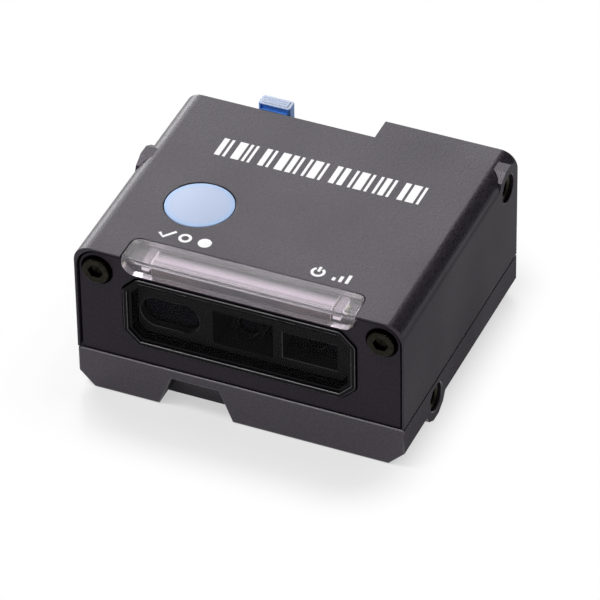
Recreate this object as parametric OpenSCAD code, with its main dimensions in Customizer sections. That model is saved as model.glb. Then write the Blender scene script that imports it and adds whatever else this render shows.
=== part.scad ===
// Compact fixed-mount barcode reader.
// Frame: origin at the centre of the underside, +X to the right along the front,
// +Y to the rear, +Z up. Inside each module, Y is counted from the front plane.

/* [Housing] */
// Width of the housing
body_w = 50; // [47:0.5:60]
// Depth of the housing, front plane to rear face
body_d = 43; // [38.5:0.5:56]
// Height of the housing
body_h = 25; // [22.5:0.5:32]
// Height of the seam between base and cover
seam_z = 6.6; // [6.4:0.1:7.4]
// Open seam between base and cover
seam_gap = 0.2; // [0.1:0.05:0.4]
// Wall of the mouldings
wall = 1.6; // [1.3:0.1:1.9]
// Fillet along the cover's long edges
top_fillet_r = 2.6; // [2.2:0.1:3.4]
// Chamfer along the base's long edges
bottom_chamfer = 2.4; // [1.2:0.1:3]
// Depth of the recess at the left of the rear face
rear_recess_d = 4.1; // [3.8:0.1:5]
// Right-hand end of the rear recess
rear_step_x = 4.6; // [3.8:0.2:8]

/* [Front panel] */
// Thickness of the panel
panel_t = 2.2; // [1.9:0.1:2.6]
// How far the panel's face lies behind the front plane
panel_inset = 0.3; // [0.1:0.05:0.5]
// Rim of the cover that shows round the panel
panel_rim = 0.35; // [0.3:0.05:0.7]
// Open joint between panel and rim
panel_gap = 0.3; // [0.1:0.05:0.4]
// Upper corners of the panel, round the screws
panel_corner_r = 3.3; // [2.6:0.1:4]

/* [Window] */
// Width over the window's bezel
window_w = 35.3; // [34:0.1:37]
// Height over the window's bezel
window_h = 11.7; // [11:0.1:12.2]
// Window's centre, down from the top
window_down = 9.45; // [9.3:0.05:9.8]
// Cut across the bezel's corners, along each side
window_cut = 2.2; // [1.8:0.1:2.8]
// Round at each end of a corner cut
window_r = 0.9; // [0.4:0.1:1.2]
// Open joint round the bezel
window_gap = 0.2; // [0.1:0.05:0.3]
// Width of the bezel's outer ring
bezel_ring_w = 0.65; // [0.4:0.05:0.7]
// Width of the lower ring inside it
bezel_step_w = 0.55; // [0.3:0.05:0.6]
// Drop from the outer ring to the lower ring
bezel_step_d = 0.35; // [0.2:0.05:0.4]
// Drop from the bezel's face to the glass
glass_drop = 0.5; // [0.5:0.05:0.7]
// Thickness of the glass
glass_t = 0.9; // [0.8:0.1:1.2]
// Width of the ledge that the glass is bonded to
glass_ledge_w = 0.3; // [0.2:0.05:0.4]
// Thickness of the ledge
glass_ledge_t = 0.75; // [0.6:0.05:1]
// Thickness of the gasket behind the bezel
gasket_t = 0.6; // [0.4:0.1:1]
// Width of the gasket's ring
gasket_w = 1.2; // [0.8:0.1:1.4]

/* [Light bar] */
// Length of the bar
bar_w = 35.3; // [34:0.1:36]
// Depth of the bar on the top face
bar_d = 4.8; // [4.4:0.1:5.6]
// Drop of the bar on the front face
bar_drop = 2.9; // [2.6:0.1:2.95]
// Thickness of the bar's two walls
bar_t = 1.6; // [1.2:0.1:1.8]
// Rear corners of the bar on the top face
bar_rear_r = 1.5; // [0.8:0.1:2]
// Lower corners of the bar on the front face
bar_front_r = 2; // [1:0.1:2.3]
// Round along the bar's upper front edge
bar_edge_r = 0.5; // [0.2:0.1:1]
// Open joint round the bar
bar_gap = 0.1; // [0.05:0.05:0.2]
// Distance of the white diffuser blocks from the bar's ends
diffuser_in = 2.6; // [2:0.1:4]
// Width of a diffuser block
diffuser_w = 1.1; // [0.8:0.1:1.6]

/* [Optics] */
// Depth of the optical chassis behind its shoulder
chassis_d = 4.9; // [4.5:0.1:6]
// Optical axis, down from the window's centre
optics_down = 0.35; // [0:0.05:0.6]
// Centre of the left pocket, counted to the left of the middle
left_pocket_x = 11.15; // [10.9:0.05:11.3]
// Width of the left pocket
left_pocket_w = 9.1; // [8.4:0.1:9.3]
// Height of the left pocket
left_pocket_h = 4.9; // [4.6:0.1:5.4]
// Width of the camera's pocket
camera_pocket_w = 9.2; // [8.4:0.1:9.6]
// Height of the camera's pocket
camera_pocket_h = 5.7; // [5.6:0.1:6.4]
// Centre of the right pocket
right_pocket_x = 10.2; // [10:0.1:11]
// Width of the right pocket
right_pocket_w = 8.3; // [8:0.1:8.6]
// Height of the right pocket
right_pocket_h = 4.5; // [4.3:0.1:5.4]
// Radius of the camera barrel
barrel_r = 2.5; // [2.2:0.1:2.7]
// Radius of the lens in the barrel
lens_r = 1.7; // [1.3:0.1:1.8]
// Thickness of the sensor board
sensor_board_t = 1; // [0.8:0.1:1.4]
// Thickness of the indicator board
indicator_board_t = 0.7; // [0.5:0.1:0.7]

/* [Status button] */
// Diameter of the button
button_d = 10.1; // [8:0.1:11]
// Place of the button, counted to the left of the middle
button_x = 12.25; // [11.8:0.05:12.8]
// Place of the button behind the front plane
button_y = 15; // [14.6:0.1:16]
// Running clearance round the button
button_gap = 0.12; // [0.08:0.01:0.25]
// Height of the button's dome
button_dome = 0.25; // [0.1:0.05:0.4]
// Travel of the button
button_travel = 0.6; // [0.3:0.05:0.8]
// Radius of the switch plunger
plunger_r = 1.7; // [1.4:0.1:1.8]
// Running clearance of the plunger
plunger_gap = 0.06; // [0.03:0.01:0.1]
// Width of the switch case
switch_w = 6; // [5.6:0.1:6.2]
// Height of the switch case
switch_h = 3.5; // [3.3:0.1:4.5]
// Height of the plunger above the case
plunger_h = 4.3; // [2:0.1:6]

/* [Release tab] */
// Width of the tab
tab_w = 5; // [4.4:0.1:6]
// Place of the tab and of the socket, counted to the left of the middle
tab_x = 11.65; // [11:0.05:12]
// Thickness of the tab
tab_t = 2.1; // [2:0.05:2.3]
// Space between the recess's wall and the tab
tab_standoff = 1.1; // [1:0.05:1.2]
// How far the tab stands over the top face
tab_proud = 0.4; // [0.2:0.05:1]
// Travel of the tab
tab_travel = 1.5; // [0.8:0.1:1.7]
// Running clearance of the tab in its guide
tab_gap = 0.15; // [0.1:0.01:0.2]
// Mean radius of the return spring
spring_r = 0.8; // [0.7:0.05:0.9]
// Radius of the spring wire
spring_wire_r = 0.13; // [0.1:0.01:0.15]

/* [Mounting bosses] */
// Distance from a side boss's centre to its flats
boss_r = 3.6; // [3.2:0.1:3.8]
// Number of flats round a side boss
boss_sides = 12; // [8:4:12]
// Length of the side bosses
boss_l = 6; // [5.6:0.1:6.4]
// Step from a boss to the face beside it
boss_inset = 0.1; // [0.05:0.05:0.4]
// Place of the lower right boss behind the front plane
boss_front_y = 12; // [11:0.1:12.2]
// Place of the upper left boss behind the front plane
boss_left_y = 23.9; // [18:0.1:27]
// Outer radius of a threaded insert
insert_r = 2.1; // [1.9:0.05:2.4]
// Bore of a threaded insert
insert_bore_r = 1.25; // [1:0.05:1.6]
// Length of a threaded insert
insert_l = 4.5; // [3:0.1:4.8]
// How far an insert is sunk
insert_recess = 0.5; // [0.2:0.05:0.6]

/* [Fasteners] */
// Radius of a front screw's shank
front_screw_r = 1.25; // [1:0.05:1.4]
// Radius of a front screw's head
screw_head_r = 2.1; // [1.8:0.05:2.15]
// Height of a front screw's head
screw_head_h = 2; // [1.6:0.1:2.1]
// Hex socket of a front screw across the flats
front_hex_af = 2; // [1.5:0.1:2.5]
// Radius of the other screws' shanks
screw_r = 1; // [0.8:0.05:1.1]
// Hex socket of the other screws across the flats
hex_af = 1.5; // [1.2:0.1:1.7]
// Shank of the front screws
front_screw_l = 8; // [5:0.5:10]
// How far the front heads stand before the front plane
screw_proud = 0.3; // [0.1:0.05:0.6]
// Front screws, in from the side
front_screw_in = 3.4; // [3.2:0.05:3.8]
// Front screws, down from the top
front_screw_down = 3.7; // [3.5:0.05:3.9]
// Clearance round a head
head_gap = 0.3; // [0.2:0.05:0.35]
// Clearance round a shank
shank_gap = 0.05; // [0.02:0.01:0.1]
// Radius of the heads of the cover and board screws
pan_head_r = 1.9; // [1.7:0.05:2]
// Height of those heads
pan_head_h = 1.3; // [1:0.1:1.5]
// Shank of the cover screws
cover_screw_l = 9; // [7:0.5:12]
// Radius of the cover's screw columns
column_r = 2.3; // [2:0.1:2.5]
// Radius of the base's screw posts
post_r = 2.9; // [2.7:0.1:3]
// Place of the side columns, in from the side faces
column_in = 4.8; // [4.7:0.1:5]
// Place of the rear middle column
column_mid_x = 0.6; // [0.2:0.1:0.8]
// Rear middle column, in from the recess's wall
column_mid_in = 4.9; // [4.6:0.1:5.2]
// Space between the left column's post and the cable socket
column_left_gap = 0.4; // [0.2:0.1:0.8]
// Front right column behind the front plane
column_right_y = 19.5; // [19.2:0.1:20]
// Rear right column, in from the rear face
column_rear_in = 10; // [9.8:0.1:10.4]

/* [Boards] */
// Thickness of the main board
main_board_t = 1; // [0.8:0.1:1.2]
// Height of the standoffs under the main board
standoff_h = 1.6; // [1.4:0.1:1.7]
// Space between the main board and the walls
board_gap = 0.4; // [0.3:0.1:0.6]
// Front edge of the main board behind the front plane
board_front_y = 9.6; // [9.4:0.1:10]
// Side of the processor
processor_w = 10.5; // [9:0.5:11]
// Width of the memory chip
memory_w = 7.6; // [6:0.2:7.8]
// Depth of the memory chip
memory_d = 5; // [4:0.2:5.4]
// Height of the chips
chip_h = 1.2; // [0.8:0.1:2]
// Radius of the beeper
beeper_r = 3.8; // [3.4:0.1:4]
// Height of the beeper
beeper_h = 3.2; // [2.5:0.1:5]
// Width of the flex cable
flex_w = 8; // [6:0.5:9]

/* [Cable socket] */
// Width of the socket
socket_w = 13.4; // [13:0.1:13.6]
// Height of the socket
socket_h = 10.6; // [10.2:0.1:10.7]
// Depth of the socket
socket_d = 13; // [12:0.1:13.4]
// Width of its port
port_w = 11.8; // [11.4:0.1:12]
// Height of its port
port_h = 6.8; // [6.6:0.1:7]
// Floor under the port
port_floor = 1.4; // [1:0.1:1.5]
// Width of the slot for the plug's latch
latch_w = 6.2; // [5:0.1:7]
// Number of contacts
contact_count = 10; // [6:1:10]
// Spacing of the contacts
contact_pitch = 1.02; // [0.9:0.01:1.05]

/* [Front notch] */
// Centre of the notch, counted to the left of the middle
notch_x = 6.9; // [4:0.1:9]
// Width of the notch at the underside
notch_w = 11.4; // [9:0.1:13]
// Width of the notch at its roof
notch_roof_w = 7.3; // [6:0.1:8.5]
// Height of the notch
notch_h = 5.05; // [4:0.05:5.15]
// Depth of the notch
notch_d = 3.25; // [2:0.05:4]

/* [Hidden] */
$fn = 64;

// Overshoot of cuts
cut = 1;
// Air between pieces that seat on each other
seat = 0.05;

front_y = -(body_d - screw_proud) / 2;
half_w = body_w / 2;
left_rear_y = body_d - rear_recess_d;
inner_top_z = body_h - wall;
cover_z = seam_z + seam_gap;
panel_back_y = panel_inset + panel_t;

// Window stack, front to back
window_z = body_h - window_down;
optics_z = window_z - optics_down;
glass_inset = bezel_ring_w + bezel_step_w;
ledge_inset = glass_inset + glass_ledge_w;
window_inner_r = 0.2;
glass_back_y = glass_drop + glass_t;
bezel_back_y = glass_back_y + glass_ledge_t;
chassis_y = bezel_back_y + gasket_t;
nose_y = glass_back_y + 4 * seat;
nose_gap = 0.2;
chassis_shoulder = 0.35;
chassis_w = window_w + 2 * chassis_shoulder;
sensor_y = chassis_y + chassis_d;
chassis_top_z = window_z + window_h / 2;

// Light bar
bar_under_z = body_h - bar_t;
bar_low_z = body_h - bar_drop;
indicator_top_z = chassis_top_z + indicator_board_t;
diffuser_x = bar_w / 2 - diffuser_in - diffuser_w / 2;
indicator_led = [1.6, 0.8, 0.45];

// Main board
board_z = wall + standoff_h;
board_top_z = board_z + main_board_t;
board_rear_y = left_rear_y - wall - board_gap;
board_side_in = 2.9;
board_half_w = half_w - wall - board_side_in;

// Cable socket
socket_sunk = 0.3;
port_back_t = 1.4;
latch_slot_h = 1.5;
contact_in = 3;
contact_w = 0.44;
contact_l = 7;
contact_t = 0.25;
socket_y = left_rear_y - socket_sunk;
socket_front_y = socket_y - socket_d;
socket_top_z = board_top_z + socket_h;
port_z = board_top_z + port_floor;
port_d = socket_d - port_back_t;

// Screw columns: x, y
column_x = half_w - column_in;
columns = [
  [-column_x, socket_front_y - column_left_gap - post_r],
  [column_mid_x, left_rear_y - column_mid_in],
  [column_x, column_right_y],
  [column_x, body_d - column_rear_in]
];
// Board screws, in from the board's front corners and from the rear step
right_hole = [4.5, 3];
left_hole = [2.9, 2.1];
rear_hole = [2.8, 1.9];
board_screws_at = [
  [board_half_w - right_hole[0], board_front_y + right_hole[1]],
  [left_hole[0] - board_half_w, board_front_y + left_hole[1]],
  [rear_step_x + rear_hole[0], board_rear_y - rear_hole[1]]
];
standoff_r = screw_r + 0.9;
screw_post_r = front_screw_r + 1.05;
screw_tip_gap = 1;
under_head_z = 0.3;
hex_d = 0.8;
front_hex_d = 1.1;

// Pieces on the main board
chip_gap = 0.4;
chip_edge_r = 0.3;
processor_x = 5;
processor_in = 9.4;
memory_in = 7.9;
processor_at = [processor_x, board_front_y + processor_in];
processor_left_x = processor_at[0] - processor_w / 2;
processor_right_x = processor_at[0] + processor_w / 2;
processor_rear_y = processor_at[1] + processor_w / 2;
memory_at = [processor_left_x - chip_gap - memory_w / 2, board_front_y + memory_in];
beeper_off = [3.35, 2.75];
beeper_at = [processor_right_x + beeper_off[0], processor_rear_y + beeper_off[1]];
beeper_hole_r = 0.9;
beeper_hole_d = 0.8;
// Coils and capacitors: x, y, side, height
components = [
  [processor_at[0] + 1, processor_rear_y + 2.2, 3, 1.6],
  [processor_left_x + 2.9, processor_rear_y + 1.1, 1.2, 0.9],
  [processor_right_x + 3.1, processor_at[1] - 0.8, 3, 1.9],
  [processor_right_x + 1.7, board_front_y + 2, 1.6, 1],
  [memory_at[0] - 1.7, board_front_y + 3.4, 2, 1.2]
];
front_screw_x = half_w - front_screw_in;
front_screw_z = body_h - front_screw_down;

// Side bosses: side, y, z
upper_boss_z = body_h - boss_r - boss_inset;
cover_bosses = [
  [1, body_d - boss_r - boss_inset, upper_boss_z],
  [-1, boss_left_y, upper_boss_z]
];
base_bosses = [[1, boss_front_y, boss_r + boss_inset]];

insert_hole_extra = 0.3;

// Status button
button_r = button_d / 2;
button_flange_w = 0.75;
button_flange_t = 0.8;
button_flange_r = button_r + button_flange_w;
button_flange_z = inner_top_z - button_flange_t - 0.3;
button_wall = 1;
button_skin = 1.2;
button_edge_drop = 0.05;
stem_rib_t = 0.9;
stem_rib_out = 0.6;
stem_rib_up = 1;
case_top_z = board_top_z + switch_h;
plunger_top_z = case_top_z + plunger_h;
case_floor_t = 0.4;
case_roof_t = 1;
collar_h = 0.6;
collar_r = plunger_r + 0.4;
collar_gap = 0.15;
dome_t = 0.3;
collar_top_z = case_top_z - case_roof_t - 2 * seat;
dome_top_z = collar_top_z - collar_h - seat;

// Release tab
tab_front_y = left_rear_y + tab_standoff;
tab_top_z = body_h + tab_proud;
tab_foot_gap = 0.6;
tab_foot_z = socket_top_z + tab_foot_gap;
tab_edge_r = 0.45;
tab_border = 0.45;
tab_sunk_in = 0.2;
tab_sunk_d = 0.3;
tab_sunk_h = 0.8;
tab_rib_r = 0.3;
tab_rib_rise = 0.15;
tab_rib_pitch = 0.5;
toe_h = 1.2;
flange_w = tab_w + 1.2;
flange_t = 1;
flange_h = 3.6;
flange_z = tab_foot_z + 2;
lug_w = 1.8;
lug_h = 1.1;
lug_z = flange_z + 2.4;
spring_clear = 0.2;
spring_pressed_h = 2.4;
spring_y = left_rear_y - wall - spring_clear - spring_r - spring_wire_r;
lug_front_y = spring_y - spring_r - spring_wire_r;
shelf_t = 0.8;
shelf_half_w = 1.6;
shelf_z = lug_z - tab_travel - spring_pressed_h;
guide_z = flange_z - tab_travel - 0.1;
guide_h = flange_h + tab_travel + 0.2;
guide_stop_h = 0.7;
rail_t = 1;
lip_t = 0.9;

// Base and cover
notch_wall = 1.2;
slot_pitch = 2;
slot_w = 1;
slot_roof = 0.6;
tongue_t = 0.8;
tongue_h = 1.2;
rib_t = 1.2;
rib_up = 2;
inner_round = 0.4;

// Optics
led_base = 2.6;
led_base_t = 0.7;
led_dome_r = 1.1;
lens_depth = 2;
lens_edge_t = 0.6;
lens_bulge = 0.5;
barrel_lip = 0.3;
barrel_front_in = 0.6;
barrel_flange_t = 1.6;
barrel_play = 0.2;
sensor_size = [4.4, 3.6, 0.8];
sensor_play = 0.2;
cover_lens_t = 0.9;
aimer_in = 1.2;
aimer_lens_r = 1.4;
aimer_lens_t = 0.8;

housing_col = "#3b383d";
panel_col = "#2b282d";
black_col = "#141416";
board_col = "#1f5a3a";
steel_col = "#8c8a84";
dark_steel_col = "#2e2c28";
brass_col = "#6d6245";
white_col = "#e6e2e2";
button_col = "#b9cdee";
tab_col = "#3d7fd6";

// Puts a piece that is drawn from the front plane into the part's frame
module from_front() {
  translate([0, front_y, 0]) children();
}

// Extrudes an outline drawn in X and Z from y0 to y1
module along_y(y0, y1) {
  translate([0, y1, 0]) rotate([90, 0, 0]) linear_extrude(y1 - y0) children();
}

// Extrudes an outline drawn in Y and Z from x0 to x1
module along_x(x0, x1) {
  translate([x0, 0, 0]) rotate([90, 0, 90]) linear_extrude(x1 - x0) children();
}

// Cylinder along +Y
module rod_y(r, y0, y1) {
  translate([0, y0, 0]) rotate([-90, 0, 0]) cylinder(r = r, h = y1 - y0);
}

// Cylinder that starts at a side face and runs inwards
module side_rod(place, r, from, to) {
  translate([place[0] * (half_w - from), place[1], place[2]])
    rotate([0, -place[0] * 90, 0]) cylinder(r = r, h = to - from);
}

// Side boss of flat facets, one of which faces up
module side_boss(place) {
  turn = 180 / boss_sides;
  translate([place[0] * half_w, place[1], place[2]])
    rotate([0, -place[0] * 90, 0])
      rotate(turn) cylinder(r = boss_r / cos(turn), h = boss_l, $fn = boss_sides);
}

// Block from its lowest to its highest corner
module block(low, high) {
  translate(low) cube(high - low);
}

// Rectangle with round corners about the origin
module round_rect_2d(w, h, r) {
  square([w - 2 * r, h], center = true);
  square([w, h - 2 * r], center = true);
  for (sx = [-1, 1], sz = [-1, 1])
    translate([sx * (w / 2 - r), sz * (h / 2 - r)]) circle(r);
}

// Outline of the window moved inwards by an inset: a rectangle with cut corners.
// It is an eight-sided core with a strip along each side and a circle at each corner.
module window_2d(inset) {
  r = max(window_r - inset, window_inner_r);
  a = window_w / 2 - inset - r;
  b = window_h / 2 - inset - r;
  c = window_cut - (2 - sqrt(2)) * (inset + r);
  core = [
    [a - c, b], [c - a, b], [-a, b - c], [-a, c - b],
    [c - a, -b], [a - c, -b], [a, c - b], [a, b - c]
  ];
  last = len(core) - 1;
  polygon(core);
  for (i = [0 : last]) {
    side = core[i == last ? 0 : i + 1] - core[i];
    translate(core[i]) {
      circle(r);
      rotate(atan2(side[1], side[0])) translate([0, -r]) square([norm(side), 2 * r]);
    }
  }
}

// Rectangle with half-round ends about the origin
module obround_2d(w, h) {
  square([w - h, h], center = true);
  for (s = [-1, 1])
    translate([s * (w - h) / 2, 0]) circle(h / 2);
}

// Arch: square feet and round upper corners
module arch_2d(half, z0, z1, r) {
  translate([-half, z0]) square([2 * half, z1 - r - z0]);
  translate([r - half, z0]) square([2 * (half - r), z1 - z0]);
  for (s = [-1, 1])
    translate([s * (half - r), z1 - r]) circle(r);
}

// Tray: chamfered lower corners
module tray_2d(half, z0, z1, c) {
  polygon([[c - half, z0], [half - c, z0], [half, z0 + c], [half, z1], [-half, z1], [-half, z0 + c]]);
}

// Rectangle from y = front to y = depth, its far corners round
module tongue_2d(w, front, depth, r) {
  translate([-w / 2, front]) square([w, depth - r - front]);
  translate([r - w / 2, front]) square([w - 2 * r, depth - front]);
  for (s = [-1, 1])
    translate([s * (w / 2 - r), depth - r]) circle(r);
}

// The recess at the left of the rear face
module rear_recess() {
  block([-half_w - cut, left_rear_y, -cut], [rear_step_x, body_d + cut, body_h + cut]);
}

// Inside of a shell: full width up to the recess, and on to the rear face beside it
module shell_inside(front) {
  along_y(front, left_rear_y - wall) children();
  intersection() {
    along_y(front, body_d - wall) children();
    block([rear_step_x + wall, front, -cut], [half_w, body_d, body_h]);
  }
}

// Opening for the cable socket in the rear wall, from z0 to z1
module socket_opening(z0, z1) {
  half = socket_w / 2 + seat;
  block([-tab_x - half, left_rear_y - wall - cut, z0], [half - tab_x, left_rear_y + cut, z1]);
}

// Guide of the release tab: a pad, two rails with lips, and a stop across the top
module tab_guide() {
  rail_in = flange_w / 2 + tab_gap;
  rail_out = rail_in + rail_t;
  lip_y = tab_front_y + flange_t + tab_gap;
  rail_y = lip_y + lip_t;
  top_z = guide_z + guide_h;
  translate([-tab_x, 0, 0]) {
    block([-rail_out, left_rear_y - seat, guide_z], [rail_out, tab_front_y - tab_gap, top_z]);
    for (s = [-1, 1])
      mirror([s > 0 ? 0 : 1, 0, 0]) {
        block([rail_in, left_rear_y - seat, guide_z], [rail_out, rail_y, top_z]);
        block([tab_w / 2 + tab_gap, lip_y, guide_z], [rail_out, rail_y, top_z]);
        block(
          [tab_w / 2 + tab_gap, left_rear_y - seat, top_z - seat],
          [rail_out, rail_y, top_z + guide_stop_h]
        );
      }
  }
}

// Slot in the rear wall in which the tab's lug slides
module lug_slot() {
  translate([-tab_x, 0, 0])
    block(
      [-lug_w / 2 - tab_gap, left_rear_y - wall - cut, lug_z - tab_travel - tab_gap],
      [lug_w / 2 + tab_gap, tab_front_y, lug_z + lug_h + tab_gap]
    );
}

// Screw columns under the cover's roof, tied to the side walls by ribs
module cover_columns() {
  for (c = columns) {
    translate([c[0], c[1], seam_z]) cylinder(r = column_r, h = inner_top_z + seat - seam_z);
    if (abs(c[0]) > half_w / 2)
      intersection() {
        block(
          [-half_w + wall / 2, c[1] - rib_t / 2, cover_z + rib_up],
          [half_w - wall / 2, c[1] + rib_t / 2, inner_top_z + seat]
        );
        block([c[0] > 0 ? c[0] : -half_w, 0, 0], [c[0] > 0 ? half_w : c[0], body_d, body_h]);
      }
  }
}

module top_cover() {
  color(housing_col) from_front() difference() {
    union() {
      difference() {
        along_y(0, body_d) arch_2d(half_w, cover_z, body_h, top_fillet_r);
        rear_recess();
        shell_inside(-cut) arch_2d(half_w - wall, 0, inner_top_z, top_fillet_r - wall + inner_round);
      }
      cover_columns();
      tab_guide();
      for (b = cover_bosses)
        side_boss(b);
      for (s = [-1, 1])
        translate([s * front_screw_x, 0, front_screw_z])
          rod_y(screw_post_r, 0, panel_back_y + front_screw_l);
      translate([-tab_x, 0, 0])
        block(
          [-shelf_half_w, lug_front_y - spring_clear, shelf_z - shelf_t],
          [shelf_half_w, left_rear_y - wall + seat, shelf_z]
        );
    }
    along_y(-cut, panel_back_y)
      arch_2d(half_w - panel_rim, 0, body_h - panel_rim, panel_corner_r);
    translate([0, 0, bar_under_z - cut])
      linear_extrude(bar_t + 2 * cut)
        tongue_2d(bar_w + 2 * bar_gap, -cut, bar_d + bar_gap, bar_rear_r);
    translate([-button_x, button_y, inner_top_z - cut])
      cylinder(r = button_r + button_gap, h = wall + 2 * cut);
    for (c = columns)
      translate([c[0], c[1], 0])
        cylinder(r = screw_r + shank_gap, h = pan_head_h + cover_screw_l + screw_tip_gap);
    for (b = cover_bosses)
      side_rod(b, insert_r + seat, -cut, insert_recess + insert_l + insert_hole_extra);
    for (s = [-1, 1])
      translate([s * front_screw_x, 0, front_screw_z])
        rod_y(front_screw_r + shank_gap, 0, panel_inset + front_screw_l + screw_head_h);
    socket_opening(0, socket_top_z + seat);
    lug_slot();
  }
}

// Section of the notch, grown outwards by a wall
module notch_2d(grow) {
  slope = (notch_w - notch_roof_w) / 2 / notch_h;
  low = -cut;
  top = notch_h + grow;
  low_half = notch_w / 2 + grow - slope * low;
  top_half = notch_roof_w / 2 + grow - slope * grow;
  translate([-notch_x, 0])
    polygon([[-low_half, low], [low_half, low], [top_half, top], [-top_half, top]]);
}

// Three sound slots through the notch's rear wall
module sound_slots() {
  for (i = [-1 : 1])
    translate([-notch_x + slot_pitch * i, 0, notch_h / 2])
      block(
        [-slot_w / 2, notch_d - seat, 0],
        [slot_w / 2, notch_d + wall + cut, notch_h / 2 - slot_roof]
      );
}

// Tongues along the side walls that enter the cover
module base_tongues() {
  tongue_out = half_w - wall - 2 * seat;
  tongue_in = tongue_out - tongue_t;
  near = panel_back_y + tongue_h;
  far = left_rear_y - wall - tongue_h;
  for (s = [0, 1])
    mirror([s, 0, 0]) {
      block([tongue_in, near, seam_z - tongue_h], [half_w - wall + seat, far, seam_z]);
      block([tongue_in, near, seam_z - seat], [tongue_out, far, seam_z + tongue_h]);
    }
}

module base_shell() {
  inner_chamfer = max(0.2, bottom_chamfer - 0.6 * wall);
  color(housing_col) from_front() difference() {
    union() {
      difference() {
        along_y(0, body_d) tray_2d(half_w, 0, seam_z, bottom_chamfer);
        difference() {
          shell_inside(wall) tray_2d(half_w - wall, wall, seam_z + cut, inner_chamfer);
          along_y(0, notch_d + notch_wall) notch_2d(notch_wall);
        }
      }
      for (c = columns)
        translate([c[0], c[1], wall / 2]) cylinder(r = post_r, h = seam_z - wall / 2);
      for (b = board_screws_at)
        translate([b[0], b[1], wall / 2]) cylinder(r = standoff_r, h = board_z - wall / 2);
      for (b = base_bosses)
        intersection() {
          side_boss(b);
          block([0, 0, 0], [half_w, body_d, seam_z]);
        }
      base_tongues();
    }
    rear_recess();
    along_y(-cut, notch_d) notch_2d(0);
    sound_slots();
    for (c = columns)
      translate([c[0], c[1], -cut]) {
        cylinder(r = screw_r + shank_gap, h = seam_z + 2 * cut);
        cylinder(r = pan_head_r + seat, h = cut + pan_head_h + under_head_z);
      }
    for (b = board_screws_at)
      translate([b[0], b[1], wall / 2]) cylinder(r = screw_r + shank_gap, h = board_z);
    for (b = base_bosses)
      side_rod(b, insert_r + seat, -cut, insert_recess + insert_l + insert_hole_extra);
    socket_opening(board_z - seat, seam_z + cut);
  }
}

module front_panel() {
  head_r = screw_head_r + head_gap;
  color(panel_col) from_front() difference() {
    along_y(panel_inset, panel_back_y)
      arch_2d(
        half_w - panel_rim - panel_gap,
        cover_z,
        body_h - panel_rim - panel_gap,
        panel_corner_r - panel_gap
      );
    translate([0, 0, window_z])
      along_y(0, panel_back_y + cut) window_2d(-window_gap);
    along_y(0, panel_back_y + cut) light_bar_front_2d(bar_gap);
    for (s = [-1, 1])
      translate([s * front_screw_x, 0, front_screw_z]) {
        rod_y(head_r, 0, screw_head_h - screw_proud);
        rod_y(front_screw_r + 2 * shank_gap, 0, panel_back_y + cut);
      }
  }
}

module window_bezel() {
  color(black_col) from_front() translate([0, 0, window_z]) difference() {
    along_y(0, bezel_back_y) window_2d(0);
    along_y(-cut, bezel_step_d) window_2d(bezel_ring_w);
    along_y(-cut, glass_back_y) window_2d(glass_inset);
    along_y(-cut, bezel_back_y + cut) window_2d(ledge_inset);
  }
}

module window_glass() {
  color("#1b1b22", 0.5) from_front() translate([0, 0, window_z])
    along_y(glass_drop, glass_back_y) window_2d(glass_inset + seat);
}

module window_gasket() {
  color("#242424") from_front() translate([0, 0, window_z])
    along_y(bezel_back_y, chassis_y)
      difference() {
        window_2d(0);
        window_2d(gasket_w);
      }
}

// Front outline of the light bar: open at the top, its lower corners round
module light_bar_front_2d(grow) {
  mirror([0, 1])
    tongue_2d(bar_w + 2 * grow, -body_h, grow - bar_low_z, bar_front_r);
}

module light_pipe() {
  color("#d9d3da", 0.6) from_front() difference() {
    intersection() {
      along_x(-bar_w / 2, bar_w / 2) {
        translate([0, bar_low_z]) square([bar_d, bar_drop - bar_edge_r]);
        translate([bar_edge_r, bar_low_z]) square([bar_d - bar_edge_r, bar_drop]);
        translate([bar_edge_r, body_h - bar_edge_r]) circle(bar_edge_r);
      }
      translate([0, 0, bar_low_z]) linear_extrude(bar_drop) tongue_2d(bar_w, 0, bar_d, bar_rear_r);
      along_y(0, bar_d) light_bar_front_2d(0);
    }
    block([-half_w, bar_t, 0], [half_w, bar_d + cut, bar_under_z]);
  }
}

module light_reflector() {
  end = diffuser_x - max(diffuser_w, indicator_led[0]) / 2 - 2 * seat;
  color("#8d8280") from_front()
    block([-end, bar_t + seat, indicator_top_z + seat], [end, bar_d - 2 * seat, bar_under_z - seat]);
}

module light_diffusers() {
  color(white_col) from_front()
    for (s = [-1, 1])
      translate([s * diffuser_x, 0, 0])
        block(
          [-diffuser_w / 2, bar_t + seat, indicator_top_z + indicator_led[2] + seat],
          [diffuser_w / 2, bar_d - 2 * seat, bar_under_z - seat]
        );
}

// The three pockets of the optical chassis
module pockets_2d() {
  translate([-left_pocket_x, 0]) obround_2d(left_pocket_w, left_pocket_h);
  square([camera_pocket_w, camera_pocket_h], center = true);
  translate([right_pocket_x, 0]) square([right_pocket_w, right_pocket_h], center = true);
}

module optical_chassis() {
  color(black_col) from_front() translate([0, 0, window_z]) difference() {
    union() {
      along_y(chassis_y, sensor_y) square([chassis_w, window_h], center = true);
      along_y(nose_y, chassis_y + seat) window_2d(ledge_inset + nose_gap);
    }
    translate([0, 0, -optics_down]) along_y(0, sensor_y + cut) pockets_2d();
  }
}

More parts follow.
